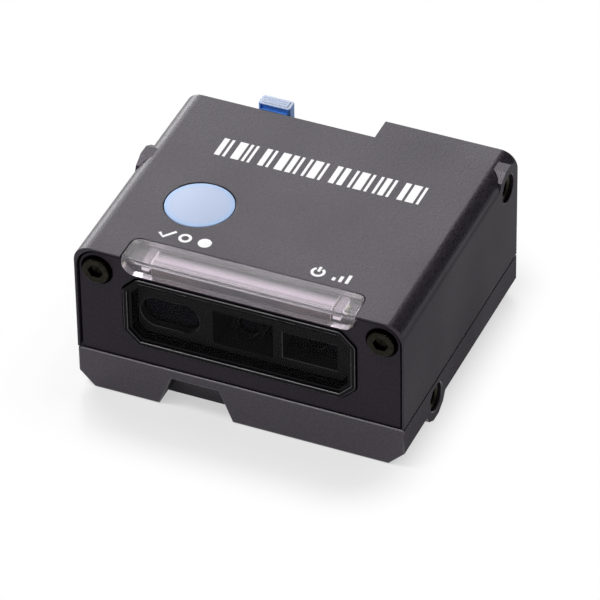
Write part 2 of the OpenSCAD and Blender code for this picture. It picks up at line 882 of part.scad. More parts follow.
module camera_barrel() {
  color(dark_steel_col) from_front() translate([0, 0, optics_z]) difference() {
    union() {
      rod_y(barrel_r, chassis_y + barrel_front_in, sensor_y - seat);
      along_y(sensor_y - barrel_flange_t, sensor_y)
        square([camera_pocket_w - 2 * barrel_play, camera_pocket_h - 2 * barrel_play], center = true);
    }
    rod_y(lens_r - barrel_lip, 0, sensor_y + cut);
    rod_y(lens_r, 0, chassis_y + lens_depth);
    along_y(sensor_y - sensor_size[2] - sensor_play, sensor_y + cut)
      square([sensor_size[0] + 2 * sensor_play, sensor_size[1] + 2 * sensor_play], center = true);
  }
}

module camera_lens() {
  lens_back_y = chassis_y + lens_depth;
  ball_r = (lens_r * lens_r + lens_bulge * lens_bulge) / 2 / lens_bulge;
  color("#5d6aa0", 0.7) from_front() translate([0, 0, optics_z]) intersection() {
    rod_y(lens_r - seat, chassis_y, lens_back_y);
    translate([0, lens_back_y - lens_edge_t - lens_bulge + ball_r, 0]) sphere(ball_r);
  }
}

module image_sensor() {
  color("#20242c") from_front() translate([0, 0, optics_z])
    along_y(sensor_y - sensor_size[2], sensor_y) square([sensor_size[0], sensor_size[1]], center = true);
}

module sensor_board() {
  color(board_col) from_front() translate([0, 0, window_z])
    along_y(sensor_y, sensor_y + sensor_board_t) square([chassis_w, window_h], center = true);
}

module illumination_leds() {
  color("#e8dfb0") from_front()
    for (s = [-1, 1])
      translate([-left_pocket_x + s * left_pocket_w / 5, 0, optics_z]) {
        along_y(sensor_y - led_base_t, sensor_y) square(led_base, center = true);
        intersection() {
          translate([0, sensor_y - led_base_t, 0]) sphere(led_dome_r);
          rod_y(led_dome_r, sensor_y - led_base_t - led_dome_r, sensor_y - led_base_t + seat);
        }
      }
}

module illumination_lens() {
  color("#c9cfd8", 0.6) from_front() translate([-left_pocket_x, 0, optics_z])
    along_y(chassis_y, chassis_y + cover_lens_t)
      obround_2d(left_pocket_w - 2 * seat, left_pocket_h - 2 * seat);
}

module aimer_module() {
  color(dark_steel_col) from_front() translate([right_pocket_x, 0, optics_z]) difference() {
    along_y(chassis_y + aimer_in, sensor_y)
      square([right_pocket_w - 2 * seat, right_pocket_h - 2 * seat], center = true);
    rod_y(aimer_lens_r, 0, chassis_y + 2 * aimer_in);
  }
}

module aimer_lens() {
  color("#a9b4c9", 0.7) from_front() translate([right_pocket_x, 0, optics_z])
    rod_y(aimer_lens_r - seat, chassis_y + 2 * aimer_in - aimer_lens_t, chassis_y + 2 * aimer_in);
}

module indicator_board() {
  color(board_col) from_front()
    block(
      [-chassis_w / 2, panel_back_y + 0.2, chassis_top_z],
      [chassis_w / 2, sensor_y, indicator_top_z]
    );
}

module indicator_leds() {
  color("#cfe6d2") from_front()
    for (s = [-1, 1])
      translate([s * diffuser_x, bar_d - 1, indicator_top_z])
        translate([-indicator_led[0] / 2, -indicator_led[1] / 2, 0]) cube(indicator_led);
}

module main_board() {
  color(board_col) from_front() difference() {
    block([-board_half_w, board_front_y, board_z], [board_half_w, board_rear_y, board_top_z]);
    for (c = columns)
      translate([c[0], c[1], 0]) cylinder(r = post_r + 0.4, h = body_h);
    for (b = base_bosses)
      side_rod(b, boss_r + 0.4, -cut, boss_l + 0.6);
    for (b = board_screws_at)
      translate([b[0], b[1], 0]) cylinder(r = screw_r + 2 * shank_gap, h = body_h);
  }
}

module processor() {
  color("#26262a") from_front() translate([processor_at[0], processor_at[1], board_top_z])
    linear_extrude(chip_h) round_rect_2d(processor_w, processor_w, chip_edge_r);
}

module memory_chip() {
  color("#2a2a2e") from_front() translate([memory_at[0], memory_at[1], board_top_z])
    linear_extrude(chip_h) square([memory_w, memory_d], center = true);
}

module board_components() {
  color("#5b5348") from_front()
    for (c = components)
      translate([c[0], c[1], board_top_z]) linear_extrude(c[3]) round_rect_2d(c[2], c[2], chip_edge_r);
}

module beeper() {
  color("#1d1d1f") from_front() translate([beeper_at[0], beeper_at[1], board_top_z]) difference() {
    cylinder(r = beeper_r, h = beeper_h);
    translate([0, 0, beeper_h - beeper_hole_d]) cylinder(r = beeper_hole_r, h = cut);
  }
}

// Flex strip: down the rear of the sensor board, round a bend and along the main board
module flex_cable() {
  t = 0.15;
  bend_r = 2.2;
  flex_tail = 2;
  back_y = sensor_y + sensor_board_t;
  turn_y = back_y + bend_r;
  turn_z = board_top_z + bend_r;
  color("#b07a2c") from_front() along_x(-flex_w / 2, flex_w / 2) {
    translate([back_y, turn_z]) square([t, window_z - turn_z - 1]);
    translate([turn_y, board_top_z]) square([flex_tail, t]);
    intersection() {
      translate([turn_y, turn_z])
        difference() {
          circle(bend_r);
          circle(bend_r - t);
        }
      translate([back_y, board_top_z]) square(bend_r);
    }
  }
}

// Cap with a domed top, a retaining flange and a cross-ribbed stem
module status_button() {
  ball_r = (button_r * button_r + button_dome * button_dome) / 2 / button_dome;
  color(button_col) from_front() translate([-button_x, button_y, 0]) {
    difference() {
      union() {
        intersection() {
          translate([0, 0, button_flange_z]) cylinder(r = button_r, h = body_h - button_flange_z + cut);
          translate([0, 0, body_h - button_edge_drop + button_dome - ball_r]) sphere(ball_r, $fn = 180);
        }
        translate([0, 0, button_flange_z]) cylinder(r = button_flange_r, h = button_flange_t);
      }
      translate([0, 0, button_flange_z - cut])
        cylinder(r = button_r - button_wall, h = cut + body_h - button_skin - button_flange_z);
    }
    translate([0, 0, plunger_top_z])
      cylinder(r = plunger_r - stem_rib_t / 2, h = body_h - button_skin + seat - plunger_top_z);
    for (a = [0, 90])
      rotate([0, 0, a])
        block(
          [-plunger_r - stem_rib_out, -stem_rib_t / 2, plunger_top_z + stem_rib_up],
          [plunger_r + stem_rib_out, stem_rib_t / 2, body_h - button_skin + seat]
        );
  }
}

module switch_case() {
  color("#2c2c2e") from_front() translate([-button_x, button_y, 0]) difference() {
    translate([0, 0, board_top_z]) linear_extrude(switch_h) round_rect_2d(switch_w, switch_w, chip_edge_r);
    translate([0, 0, board_top_z + case_floor_t])
      cylinder(r = collar_r + collar_gap, h = switch_h - case_floor_t - case_roof_t);
    translate([0, 0, board_top_z + case_floor_t]) cylinder(r = plunger_r + plunger_gap, h = switch_h);
  }
}

module switch_plunger() {
  color("#c8b7a0") from_front() translate([-button_x, button_y, 0]) {
    translate([0, 0, collar_top_z - collar_h]) {
      cylinder(r = plunger_r, h = plunger_top_z - collar_top_z + collar_h);
      cylinder(r = collar_r, h = collar_h);
    }
  }
}

// Rubber dome under the plunger: a shallow hollow cone
module switch_dome() {
  z0 = board_top_z + case_floor_t;
  flat_r = plunger_r / 2;
  color("#8a8f98") from_front() translate([-button_x, button_y, 0])
    rotate_extrude()
      polygon([
        [collar_r, z0], [collar_r, z0 + dome_t], [flat_r, dome_top_z], [0, dome_top_z],
        [0, dome_top_z - dome_t], [flat_r - dome_t / 3, dome_top_z - dome_t], [collar_r - dome_t, z0]
      ]);
}

// Blue tab: ribbed head with a sunk front, guided plate, lug for the spring
// and a toe for the plug's latch
module release_tab() {
  mid_y = tab_front_y + tab_t / 2;
  flat_z = tab_top_z - tab_rib_rise;
  inner_half = tab_w / 2 - tab_border;
  color(tab_col) from_front() translate([-tab_x, 0, 0]) difference() {
    union() {
      translate([0, mid_y, tab_foot_z])
        linear_extrude(flat_z - tab_foot_z) round_rect_2d(tab_w, tab_t, tab_edge_r);
      for (i = [-1 : 1])
        along_x(-inner_half, inner_half)
          translate([mid_y + tab_rib_pitch * i, tab_top_z - tab_rib_r]) circle(tab_rib_r);
      block(
        [-flange_w / 2, tab_front_y, flange_z],
        [flange_w / 2, tab_front_y + flange_t, flange_z + flange_h]
      );
      block([-lug_w / 2, lug_front_y, lug_z], [lug_w / 2, tab_front_y + seat, lug_z + lug_h]);
      block([-tab_w / 3, tab_front_y, tab_foot_z], [tab_w / 3, body_d - boss_inset, tab_foot_z + toe_h]);
    }
    block(
      [-inner_half, tab_front_y - cut, flat_z - tab_sunk_in - tab_sunk_h],
      [inner_half, tab_front_y + tab_sunk_d, flat_z - tab_sunk_in]
    );
  }
}

// Coil spring: a round wire carried along a helix
module release_spring() {
  turns = 5;
  steps = 14;
  sides = 8;
  low = shelf_z + seat + spring_wire_r;
  high = lug_z - seat - spring_wire_r;
  last = turns * steps;
  points = [
    for (i = [0 : last], j = [0 : sides - 1])
      let (
        a = 360 * i / steps,
        b = 360 * j / sides,
        r = spring_r + spring_wire_r * cos(b)
      )
      [r * cos(a), r * sin(a), low + (high - low) * i / last + spring_wire_r * sin(b)]
  ];
  skin = [
    for (i = [0 : last - 1], j = [0 : sides - 1])
      let (k = (j + 1) % sides)
      [i * sides + j, i * sides + k, (i + 1) * sides + k, (i + 1) * sides + j]
  ];
  start = [for (j = [0 : sides - 1]) sides - 1 - j];
  end = [for (j = [0 : sides - 1]) last * sides + j];
  color(steel_col) from_front() translate([-tab_x, spring_y, 0])
    polyhedron(points, concat([start, end], skin), convexity = 8);
}

module cable_socket() {
  half = port_w / 2;
  rear = socket_y;
  color("#19191b") from_front() translate([-tab_x, 0, 0]) difference() {
    block([-socket_w / 2, rear - socket_d, board_top_z], [socket_w / 2, rear, socket_top_z]);
    block([-half, rear - port_d, port_z], [half, rear + cut, port_z + port_h]);
    block([-latch_w / 2, rear - port_d, port_z], [latch_w / 2, rear + cut, port_z + port_h + latch_slot_h]);
  }
}

// Sprung contacts that rise from the port's floor towards its back
module socket_contacts() {
  rise = 9;
  first_x = -tab_x - (contact_count - 1) / 2 * contact_pitch;
  color("#c9a24a") from_front()
    for (i = [0 : contact_count - 1])
      translate([first_x + i * contact_pitch, socket_y - contact_in, port_z + seat])
        rotate([-rise, 0, 0])
          block([-contact_w / 2, -contact_l, 0], [contact_w / 2, 0, contact_t]);
}

module mounting_inserts() {
  color(brass_col) from_front()
    for (b = concat(cover_bosses, base_bosses))
      difference() {
        side_rod(b, insert_r, insert_recess, insert_recess + insert_l);
        side_rod(b, insert_bore_r, 0, insert_recess + insert_l + cut);
      }
}

// Hex across flats as a six-sided cut
module hex_cut(af, depth) {
  cylinder(r = af / sqrt(3), h = depth, $fn = 6);
}

module front_screws() {
  color(dark_steel_col) from_front()
    for (s = [-1, 1])
      translate([s * front_screw_x, -screw_proud, front_screw_z]) difference() {
        union() {
          rod_y(screw_head_r, 0, screw_head_h - seat);
          rod_y(front_screw_r, 0, screw_head_h + front_screw_l);
        }
        translate([0, -cut, 0]) rotate([-90, 0, 0]) hex_cut(front_hex_af, cut + front_hex_d);
      }
}

module cover_screws() {
  color(steel_col) from_front()
    for (c = columns)
      translate([c[0], c[1], under_head_z]) difference() {
        union() {
          cylinder(r = pan_head_r, h = pan_head_h);
          cylinder(r = screw_r, h = pan_head_h + cover_screw_l);
        }
        translate([0, 0, -cut]) hex_cut(hex_af, cut + hex_d);
      }
}

module board_screws() {
  color(steel_col) from_front()
    for (b = board_screws_at)
      translate([b[0], b[1], board_top_z]) difference() {
        union() {
          cylinder(r = pan_head_r, h = pan_head_h);
          translate([0, 0, wall - board_top_z]) cylinder(r = screw_r, h = board_top_z - wall + seat);
        }
        translate([0, 0, pan_head_h - hex_d]) hex_cut(hex_af, cut);
      }
}

top_cover();
base_shell();
front_panel();
window_bezel();
window_glass();
window_gasket();
light_pipe();
light_reflector();
light_diffusers();
optical_chassis();
camera_barrel();
camera_lens();
image_sensor();
sensor_board();
illumination_leds();
illumination_lens();
aimer_module();
aimer_lens();
indicator_board();
indicator_leds();
main_board();
processor();
memory_chip();
board_components();
beeper();
flex_cable();
status_button();
switch_case();
switch_plunger();
switch_dome();
release_tab();
release_spring();
cable_socket();
socket_contacts();
mounting_inserts();
front_screws();
cover_screws();
board_screws();
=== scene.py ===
"""Looks of a compact fixed-mount barcode reader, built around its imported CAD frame."""

import math

import bmesh
import bpy
import numpy as np
from bpy.props import FloatProperty, FloatVectorProperty, IntProperty, PointerProperty
from mathutils import Matrix, Vector


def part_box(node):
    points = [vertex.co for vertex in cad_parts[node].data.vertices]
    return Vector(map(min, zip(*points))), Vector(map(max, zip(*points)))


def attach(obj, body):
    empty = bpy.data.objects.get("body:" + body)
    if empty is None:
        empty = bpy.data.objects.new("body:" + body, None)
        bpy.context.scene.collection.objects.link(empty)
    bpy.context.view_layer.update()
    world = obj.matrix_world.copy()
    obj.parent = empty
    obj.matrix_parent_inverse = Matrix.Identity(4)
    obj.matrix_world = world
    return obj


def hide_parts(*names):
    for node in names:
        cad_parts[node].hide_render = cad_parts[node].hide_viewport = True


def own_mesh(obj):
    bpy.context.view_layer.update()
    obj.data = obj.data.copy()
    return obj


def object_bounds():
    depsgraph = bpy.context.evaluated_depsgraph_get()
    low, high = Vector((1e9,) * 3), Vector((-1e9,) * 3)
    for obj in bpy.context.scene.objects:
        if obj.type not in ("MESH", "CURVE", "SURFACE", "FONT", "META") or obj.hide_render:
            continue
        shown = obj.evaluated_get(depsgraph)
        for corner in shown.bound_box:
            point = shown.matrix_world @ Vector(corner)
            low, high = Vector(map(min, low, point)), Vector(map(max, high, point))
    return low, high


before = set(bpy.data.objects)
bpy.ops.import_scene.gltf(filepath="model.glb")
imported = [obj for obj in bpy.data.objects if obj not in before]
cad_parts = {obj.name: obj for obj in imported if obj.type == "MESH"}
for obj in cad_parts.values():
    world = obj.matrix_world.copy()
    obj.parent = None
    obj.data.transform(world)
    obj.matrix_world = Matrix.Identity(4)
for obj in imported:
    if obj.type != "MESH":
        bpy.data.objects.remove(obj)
CAD_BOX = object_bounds()

bl_info = {
    "name": "Barcode reader looks",
    "version": (1, 0, 0),
    "blender": (4, 5, 0),
    "location": "3D View > Sidebar > Reader",
    "description": "Dresses the packed barcode reader: mouldings, light bar, screws and marks",
    "category": "Object",
}

MM = 0.001

# Distance within which a CAD node's loose corners are one corner
MERGE = 2e-6
# Two flats closer in angle than this are one flat
FLAT_ANGLE = math.radians(0.5)
# Edges sharper than this stay sharp in the shading: the CAD's curves turn 8.6 degrees a facet
SHARP_ANGLE = math.radians(30)
CAD_SHARP_ANGLE = math.radians(10)
# Edges sharper than this get a round
ROUND_ANGLE = math.radians(35)
# A face's corner narrower than this leaves no room for a round
NARROW_ANGLE = math.radians(50)
# Nor does an edge shorter than this share of the round's width
SHORT_SHARE = 0.35
# Part of a round's width that a rear edge takes
REAR_SHARE = 0.7
# A corner this near a side of its node's box lies on that side
ON_SIDE = 1e-5
# Column of the rear among a box's sides: the three low ones, then the three high ones
REAR_SIDE = 4
# Edges by which a round that would stop half way along a run is taken back
RUN_BACK = 2
# A fillet's facet leans at least this far both outwards and up, and hardly to the front or rear
FACET_LEAN, FACET_STRAY = 0.03, 0.02
# A corner this near the fillet's radius is on the fillet, and one this near a cut is on the cut
ON_FILLET, ON_CUT = 0.02e-3, 1e-7
# Stored places are at least this exact
EXACT = 1e-6
# Distance within which two points of a new surface are one point
SAME_POINT = 1e-8
# How far a face turns sideways where it starts to be a side wall, and where it is one
WALL_FACING = (0.9, 0.975)
# Columns round a thread, and points of a spring in one turn and round its wire
THREAD_COLUMNS, TURN_POINTS, WIRE_POINTS = 72, 32, 12

# Sockets of the Mix node when it mixes colours. Those of Map Range are 0 for the value, 1 and 2
# for the range that it comes from, and 3 and 4 for the range that it goes to
FACTOR, COLOUR_A, COLOUR_B, MIXED = 0, 6, 7, 2
# Most of a noise texture's values lie in this range
NOISE_LOW, NOISE_HIGH = 0.3, 0.7
# Box of the notch in the base's front, just behind its face, in millimetres, where shade is painted
NOTCH_LOW, NOTCH_HIGH = (-12.8, -20.9, -1), (-1.0, -17.9, 5.2)


def linear(code):
    """Linear RGBA of an sRGB hex colour."""
    part = np.array([int(code[i : i + 2], 16) for i in (1, 3, 5)]) / 255
    low, high = part / 12.92, ((part + 0.055) / 1.055) ** 2.4
    return (*np.where(part <= 0.04045, low, high).tolist(), 1.0)


def shade(tint, share):
    """A colour times a share, which makes it darker or paler."""
    return (*(part * share for part in tint[:3]), 1.0)


def per_mm(size):
    """Texture scale at which one cell of the pattern is size millimetres."""
    return 1 / (size * MM)


# Sizes and colours


def length(name, description, default):
    """A length property given in millimetres."""
    return FloatProperty(
        name=name, description=description, default=default * MM, min=0, unit="LENGTH", precision=5
    )


def colour(name, description, code):
    """A colour property given as sRGB hex."""
    return FloatVectorProperty(
        name=name,
        description=description,
        default=linear(code),
        size=4,
        min=0,
        max=1,
        subtype="COLOR",
    )


class ReaderSizes(bpy.types.PropertyGroup):
    """Sizes of what the dress adds to the frame."""

    fillet: length("Fillet", "Radius of the fillets along the cover, as in the CAD", 2.6)
    fillet_step: length("Fillet step", "Distance between cuts across the fillets", 1.5)
    edge_round: length("Edge round", "Round along the outer edges of the housing", 0.22)
    fine_round: length("Fine round", "Round along the edges of small mouldings", 0.09)
    head_round: length("Head round", "Round along the rim of a screw head", 0.2)
    knurl_depth: length("Knurl depth", "Depth of the grooves round a front screw's head", 0.14)
    knurl_count: IntProperty(
        name="Knurl count", description="Grooves round a front screw's head", default=30, min=6
    )
    front_flats: length("Front hex", "Hex socket of a front screw across its flats", 2.0)
    front_depth: length("Front hex depth", "Depth of a front screw's hex socket", 1.1)
    front_head: length("Front head", "Height of a front screw's head", 1.95)
    front_shank: length("Front shank", "Radius over a front screw's thread", 1.25)
    inner_flats: length("Inner hex", "Hex socket of the other screws across its flats", 1.5)
    inner_depth: length("Inner hex depth", "Depth of the other screws' hex sockets", 0.8)
    inner_head: length("Inner head", "Height of the other screws' heads", 1.3)
    inner_shank: length("Inner shank", "Radius over the other screws' threads", 1.0)
    screw_pitch: length("Screw pitch", "Pitch of the screws' threads", 0.4)
    insert_pitch: length("Insert pitch", "Pitch of the threads in the side inserts", 0.5)
    insert_bore: length("Insert bore", "Core radius of the threads in the side inserts", 1.25)
    ink_height: length("Ink height", "Height of the printed ink over the cover", 0.02)
    wire_radius: length("Wire radius", "Radius of the return spring's wire", 0.13)


class ReaderColours(bpy.types.PropertyGroup):
    """Colours of the finishes."""

    housing: colour("Housing", "Charcoal of the cover and base", "#2a262d")
    panel: colour("Panel", "Near-black of the front panel", "#1b151e")
    ring: colour("Window ring", "Black of the window's ring", "#0d0d0f")
    button: colour("Button", "Pale blue of the status button", "#b2c0dc")
    tab: colour("Tab", "Blue of the release tab", "#5ea2ff")
    ink: colour("Ink", "White of the printed marks", "#f4f3f4")
    floor: colour("Floor", "Pale floor", "#f6f6f6")


def sizes():
    """The scene's ReaderSizes."""
    return bpy.context.scene.reader_sizes


def colours():
    """The scene's ReaderColours."""
    return bpy.context.scene.reader_colours


# Meshes


def merged(node):
    """A bmesh copy of a CAD node with its loose corners merged."""
    mesh = bmesh.new()
    mesh.from_mesh(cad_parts[node].data)
    bmesh.ops.remove_doubles(mesh, verts=mesh.verts, dist=MERGE)
    return mesh


def finish_piece(name, mesh, material, body, node=None, sharp=SHARP_ANGLE):
    """Makes a bmesh a shown piece: smooth but for its sharp edges, riding on a body."""
    data = bpy.data.meshes.new(name)
    mesh.to_mesh(data)
    mesh.free()
    # A CAD copy brings normals that its merged corners no longer fit
    stored = data.attributes.get("custom_normal")
    if stored:
        data.attributes.remove(stored)
    data.polygons.foreach_set("use_smooth", np.ones(len(data.polygons), bool))
    data.set_sharp_from_angle(angle=sharp)
    data.materials.append(material)
    made = bpy.data.objects.new(name, data)
    bpy.context.scene.collection.objects.link(made)
    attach(made, body)
    if node:
        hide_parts(node)
    return made


def pressed(made):
    """Gives a piece a mesh of its own."""
    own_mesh(made)


def read(items, key, width, kind=int):
    """A property of each item of a mesh as an array of so many columns."""
    flat = np.zeros(len(items) * width, kind)
    items.foreach_get(key, flat)
    return flat.reshape(-1, width) if width > 1 else flat


def round_weights(data, width, inner):
    """How much of a round each edge of a mesh takes: 1 on outer edges, inner on others, 0 on none.

    An edge takes a round where the normals of its two faces part by more than ROUND_ANGLE, the
    second face falls below the plane of the first, and its ends leave room. An end has no room
    where an edge there is shorter than a share of the width, or where a face has a corner narrower
    than NARROW_ANGLE. An outer edge has both its ends on the same two sides of the mesh's box, and
    on the box's rear it takes REAR_SHARE, because a boss comes close to it there.
    """
    spots = read(data.vertices, "co", 3, np.float32)
    ends = read(data.edges, "vertices", 2)
    start, total = read(data.polygons, "loop_start", 1), read(data.polygons, "loop_total", 1)
    normal = read(data.polygons, "normal", 3, np.float32)
    corner, side = read(data.loops, "vertex_index", 1), read(data.loops, "edge_index", 1)
    face = np.repeat(np.arange(len(start)), total)
    follow = np.arange(len(corner)) + 1
    follow[start + total - 1] = start
    before = np.empty_like(follow)
    before[follow] = np.arange(len(corner))
    ahead = spots[corner[follow]] - spots[corner]
    behind = spots[corner[before]] - spots[corner]
    loops = np.argsort(side, kind="stable").reshape(-1, 2)
    first, second = (normal[face[loops[:, n]]] for n in (0, 1))
    sharp = (first * second).sum(1) < math.cos(ROUND_ANGLE)
    falls = (np.cross(second, ahead[loops[:, 0]]) * first).sum(1) > 0
    turn = (ahead * behind).sum(1) / np.linalg.norm(ahead, axis=1) / np.linalg.norm(behind, axis=1)
    tight = np.zeros(len(spots), bool)
    tight[corner[turn > math.cos(NARROW_ANGLE)]] = True
    short = np.linalg.norm(spots[ends[:, 0]] - spots[ends[:, 1]], axis=1) < SHORT_SHARE * width
    tight[ends[short].ravel()] = True
    sides = np.hstack([spots - spots.min(0), spots.max(0) - spots]) < ON_SIDE
    outer = (sides[ends[:, 0]] & sides[ends[:, 1]]).sum(1) > 1
    rear = outer & sides[ends, REAR_SIDE].all(1)
    share = np.where(rear, REAR_SHARE, np.where(outer, 1, inner))
    wanted = sharp & falls
    share = np.where(wanted & ~tight[ends].any(1), share, 0)
    # A round that would stop half way along a run of edges is taken back to the run's end
    for _ in range(RUN_BACK):
        meet = np.bincount(ends[wanted].ravel(), minlength=len(spots))
        kept = np.bincount(ends[share > 0].ravel(), minlength=len(spots))
        share[((meet == 2) & (kept == 1))[ends].any(1)] = 0
    return share


def cut_fillets(mesh):
    """Cuts the fillets of the cover's long edges across at even steps.

    Their packed facets are slivers from end to end, which shade unevenly where a boss cuts in.
    """
    (low, high), r, step = CAD_BOX, sizes().fillet, sizes().fillet_step
    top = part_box("top_cover")[1].z
    for y in np.arange(low.y + step, high.y - step / 2, step):
        faces = [
            f
            for f in mesh.faces
            if min(f.normal.z, abs(f.normal.x)) > FACET_LEAN and abs(f.normal.y) < FACET_STRAY
            if abs(f.calc_center_median().x) > high.x - r and f.calc_center_median().z > top - r
        ]
        parts = [*faces, *(e for f in faces for e in f.edges), *(v for f in faces for v in f.verts)]
        cut = {"plane_co": (0, y, 0), "plane_no": (0, 1, 0), "dist": ON_CUT}
        bmesh.ops.bisect_plane(mesh, geom=list(dict.fromkeys(parts)), **cut)


def true_fillets(data):
    """Sets the corners on the cover's fillets at the fillet's radius from its axis."""
    r, top = sizes().fillet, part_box("top_cover")[1].z
    spots = read(data.vertices, "co", 3, np.float32)
    side = np.sign(spots[:, 0])
    out = np.stack([np.abs(spots[:, 0]) - (CAD_BOX[1].x - r), spots[:, 2] - (top - r)], 1)
    reach = np.linalg.norm(out, axis=1)
    on = (out > -EXACT).all(1) & (np.abs(reach - r) < ON_FILLET)
    out[on] *= (r / reach[on])[:, None]
    spots[on, 0] = side[on] * (CAD_BOX[1].x - r + out[on, 0])
    spots[on, 2] = top - r + out[on, 1]
    data.vertices.foreach_set("co", spots.ravel())
    data.update()


def softened(
    name, node, width, material, slot, body="housing", inner=1.0, edge=None, fillets=False
):
    """Copy of a CAD node: triangles of one flat joined, then a small round along each sharp edge.

    Edges inside the piece's outline take a share of the width. The rounds take the edge material
    where one is given.
    """
    mesh = merged(node)
    bmesh.ops.dissolve_limit(mesh, angle_limit=FLAT_ANGLE, verts=mesh.verts, edges=mesh.edges)
    if fillets:
        cut_fillets(mesh)
    made = finish_piece(name, mesh, material, body, node, CAD_SHARP_ANGLE)
    if fillets:
        true_fillets(made.data)
    weight = made.data.attributes.new("bevel_weight_edge", "FLOAT", "EDGE")
    weight.data.foreach_set("value", round_weights(made.data, width, inner).astype(np.float32))
    rounding = made.modifiers.new("edge round", "BEVEL")
    rounding.width = width
    rounding.segments = 2
    rounding.limit_method = "WEIGHT"
    rounding.use_clamp_overlap = False
    if edge:
        made.data.materials.append(edge)
        rounding.material = 1
    # Broad flats keep their own normals where a fillet or a round runs into them
    shading = made.modifiers.new("even shading", "WEIGHTED_NORMAL")
    shading.keep_sharp = True
    return made


def skin(rings, wrap=False):
    """Quads that join each ring of points to the next, and each ring's last point to its first.

    The first and last ring are joined too when wrap is set, and get a face each when it is not.
    """
    index = np.arange(rings.shape[0] * rings.shape[1]).reshape(rings.shape[:2])
    low, high = (index, np.roll(index, -1, 0)) if wrap else (index[:-1], index[1:])
    quads = np.stack([low, np.roll(low, -1, 1), np.roll(high, -1, 1), high], -1)
    faces = quads.reshape(-1, 4).tolist()
    return faces if wrap else faces + [index[0, ::-1].tolist(), index[-1].tolist()]


def skinned(parts, wrap=False):
    """One bmesh of several ring grids, with doubles merged and faces turned outwards."""
    data = bpy.data.meshes.new("rings")
    start = np.cumsum([0] + [p.shape[0] * p.shape[1] for p in parts])
    faces = [
        [corner + int(first) for corner in face]
        for part, first in zip(parts, start)
        for face in skin(part, wrap)
    ]
    data.from_pydata(np.concatenate([p.reshape(-1, 3) for p in parts]), [], faces)
    mesh = bmesh.new()
    mesh.from_mesh(data)
    bpy.data.meshes.remove(data)
    bmesh.ops.remove_doubles(mesh, verts=mesh.verts, dist=SAME_POINT)
    bmesh.ops.recalc_face_normals(mesh, faces=mesh.faces)
    return mesh


def solids(node):
    """Lowest and highest corner of each separate solid of a CAD node.

    Each corner takes the lowest number among its neighbours until nothing changes.
    """
    mesh, data = merged(node), bpy.data.meshes.new(node)
    mesh.to_mesh(data)
    mesh.free()
    corners = read(data.vertices, "co", 3, np.float32).astype(float)
    ends = read(data.edges, "vertices", 2).T
    bpy.data.meshes.remove(data)
    label, before = np.arange(len(corners)), None
    while before is None or (label != before).any():
        before = label.copy()
        least = label[ends].min(0)
        np.minimum.at(label, ends[0], least)
        np.minimum.at(label, ends[1], least)
    groups = [corners[label == n] for n in np.unique(label)]
    return [(g.min(0), g.max(0)) for g in groups]


def turned(radius, depth, turn, centre, axis):
    """Points of a revolved grid: radius and depth by row, turn by column, depth along the axis."""
    axis = np.array(axis, float)
    side = np.roll(axis, 1)
    across = np.cross(axis, side)
    ring = np.cos(turn)[:, None] * side + np.sin(turn)[:, None] * across
    return np.array(centre) + radius[..., None] * ring + depth[..., None] * axis


def saw(phase):
    """Triangle wave between 0 and 1 with a period of 1."""
    return 1 - np.abs(2 * (phase % 1) - 1)


def screw_grid(centre, axis, head_r, total, head_h, flats, deep, shank_r, grooves):
    """Screw from the floor of its hex socket out over the head and down its thread to the tip.

    Each row is a ring round the axis. Depth counts from the head's face. The socket's rings have
    the radius of a hexagon, half its width over the cosine of the angle from the nearest flat; the
    head's side dips by a triangle wave of the angle; the shank dips by a triangle wave of depth
    over pitch plus the angle's share of a turn, which is a helix.
    """
    s = sizes()
    columns = 6 * max(20, grooves)
    turn = np.linspace(0, 2 * np.pi, columns, endpoint=False)
    sixth = np.pi / 3
    hexagon = flats / 2 / np.cos((turn + sixth / 2) % sixth - sixth / 2)
    flat = np.ones(columns)
    lip, drill_point, r = 0.06 * MM, 0.25 * MM, s.head_round
    bend = np.linspace(0, np.pi / 2, 5)
    dip = s.knurl_depth * (saw(turn * grooves / (2 * np.pi)) if grooves else 0 * turn)
    rows = [
        (0 * flat, deep + drill_point),
        (0.85 * hexagon, deep),
        (hexagon, deep - lip),
        (hexagon, lip),
        (hexagon + lip, 0),
        ((head_r - r) * 0.9 * flat, 0),
        *(((head_r - r + r * np.sin(b)) * flat - dip * np.sin(b), r - r * np.cos(b)) for b in bend),
        (head_r * flat - dip, head_h - 2 * lip),
        ((head_r - 2 * lip) * flat, head_h),
    ]
    pitch = s.screw_pitch
    tip, thread_depth = 0.6 * pitch, 0.55 * pitch
    for depth in np.arange(head_h, total - tip, pitch / 6):
        rows.append((shank_r - thread_depth * saw(depth / pitch + turn / (2 * np.pi)), depth))
    rows += [((shank_r - 0.5 * tip) * flat, total - tip / 2)]
    rows += [((shank_r - tip) * flat, total), (0 * flat, total)]
    radius = np.array([row[0] for row in rows])
    depth = np.array([np.full(columns, row[1]) for row in rows])
    return turned(radius, depth, turn, centre, axis)


def insert_grid(centre, axis, outer_r, bore_r, total):
    """Threaded insert: a closed band of rings, out along its side, over its face and down its bore.

    The bore's radius grows from the core by a triangle wave of depth over pitch plus the angle's
    share of a turn, and the thread fades in over its first pitch.
    """
    pitch = sizes().insert_pitch
    turn = np.linspace(0, 2 * np.pi, THREAD_COLUMNS, endpoint=False)
    flat = np.ones(THREAD_COLUMNS)
    edge = 0.12 * MM
    rows = [
        ((outer_r - edge) * flat, total),
        (outer_r * flat, total - edge),
        (outer_r * flat, edge),
        ((outer_r - edge) * flat, 0),
        ((bore_r + 3 * edge) * flat, 0),
    ]
    for depth in np.arange(2 * edge, total - edge, pitch / 8):
        fade = min(1, depth / pitch) * 0.5 * pitch
        rows.append((bore_r + fade * saw(depth / pitch + turn / (2 * np.pi)), depth))
    rows.append((bore_r * flat, total))
    radius = np.array([row[0] for row in rows])
    depth = np.array([np.full(THREAD_COLUMNS, row[1]) for row in rows])
    return turned(radius, depth, turn, centre, axis)


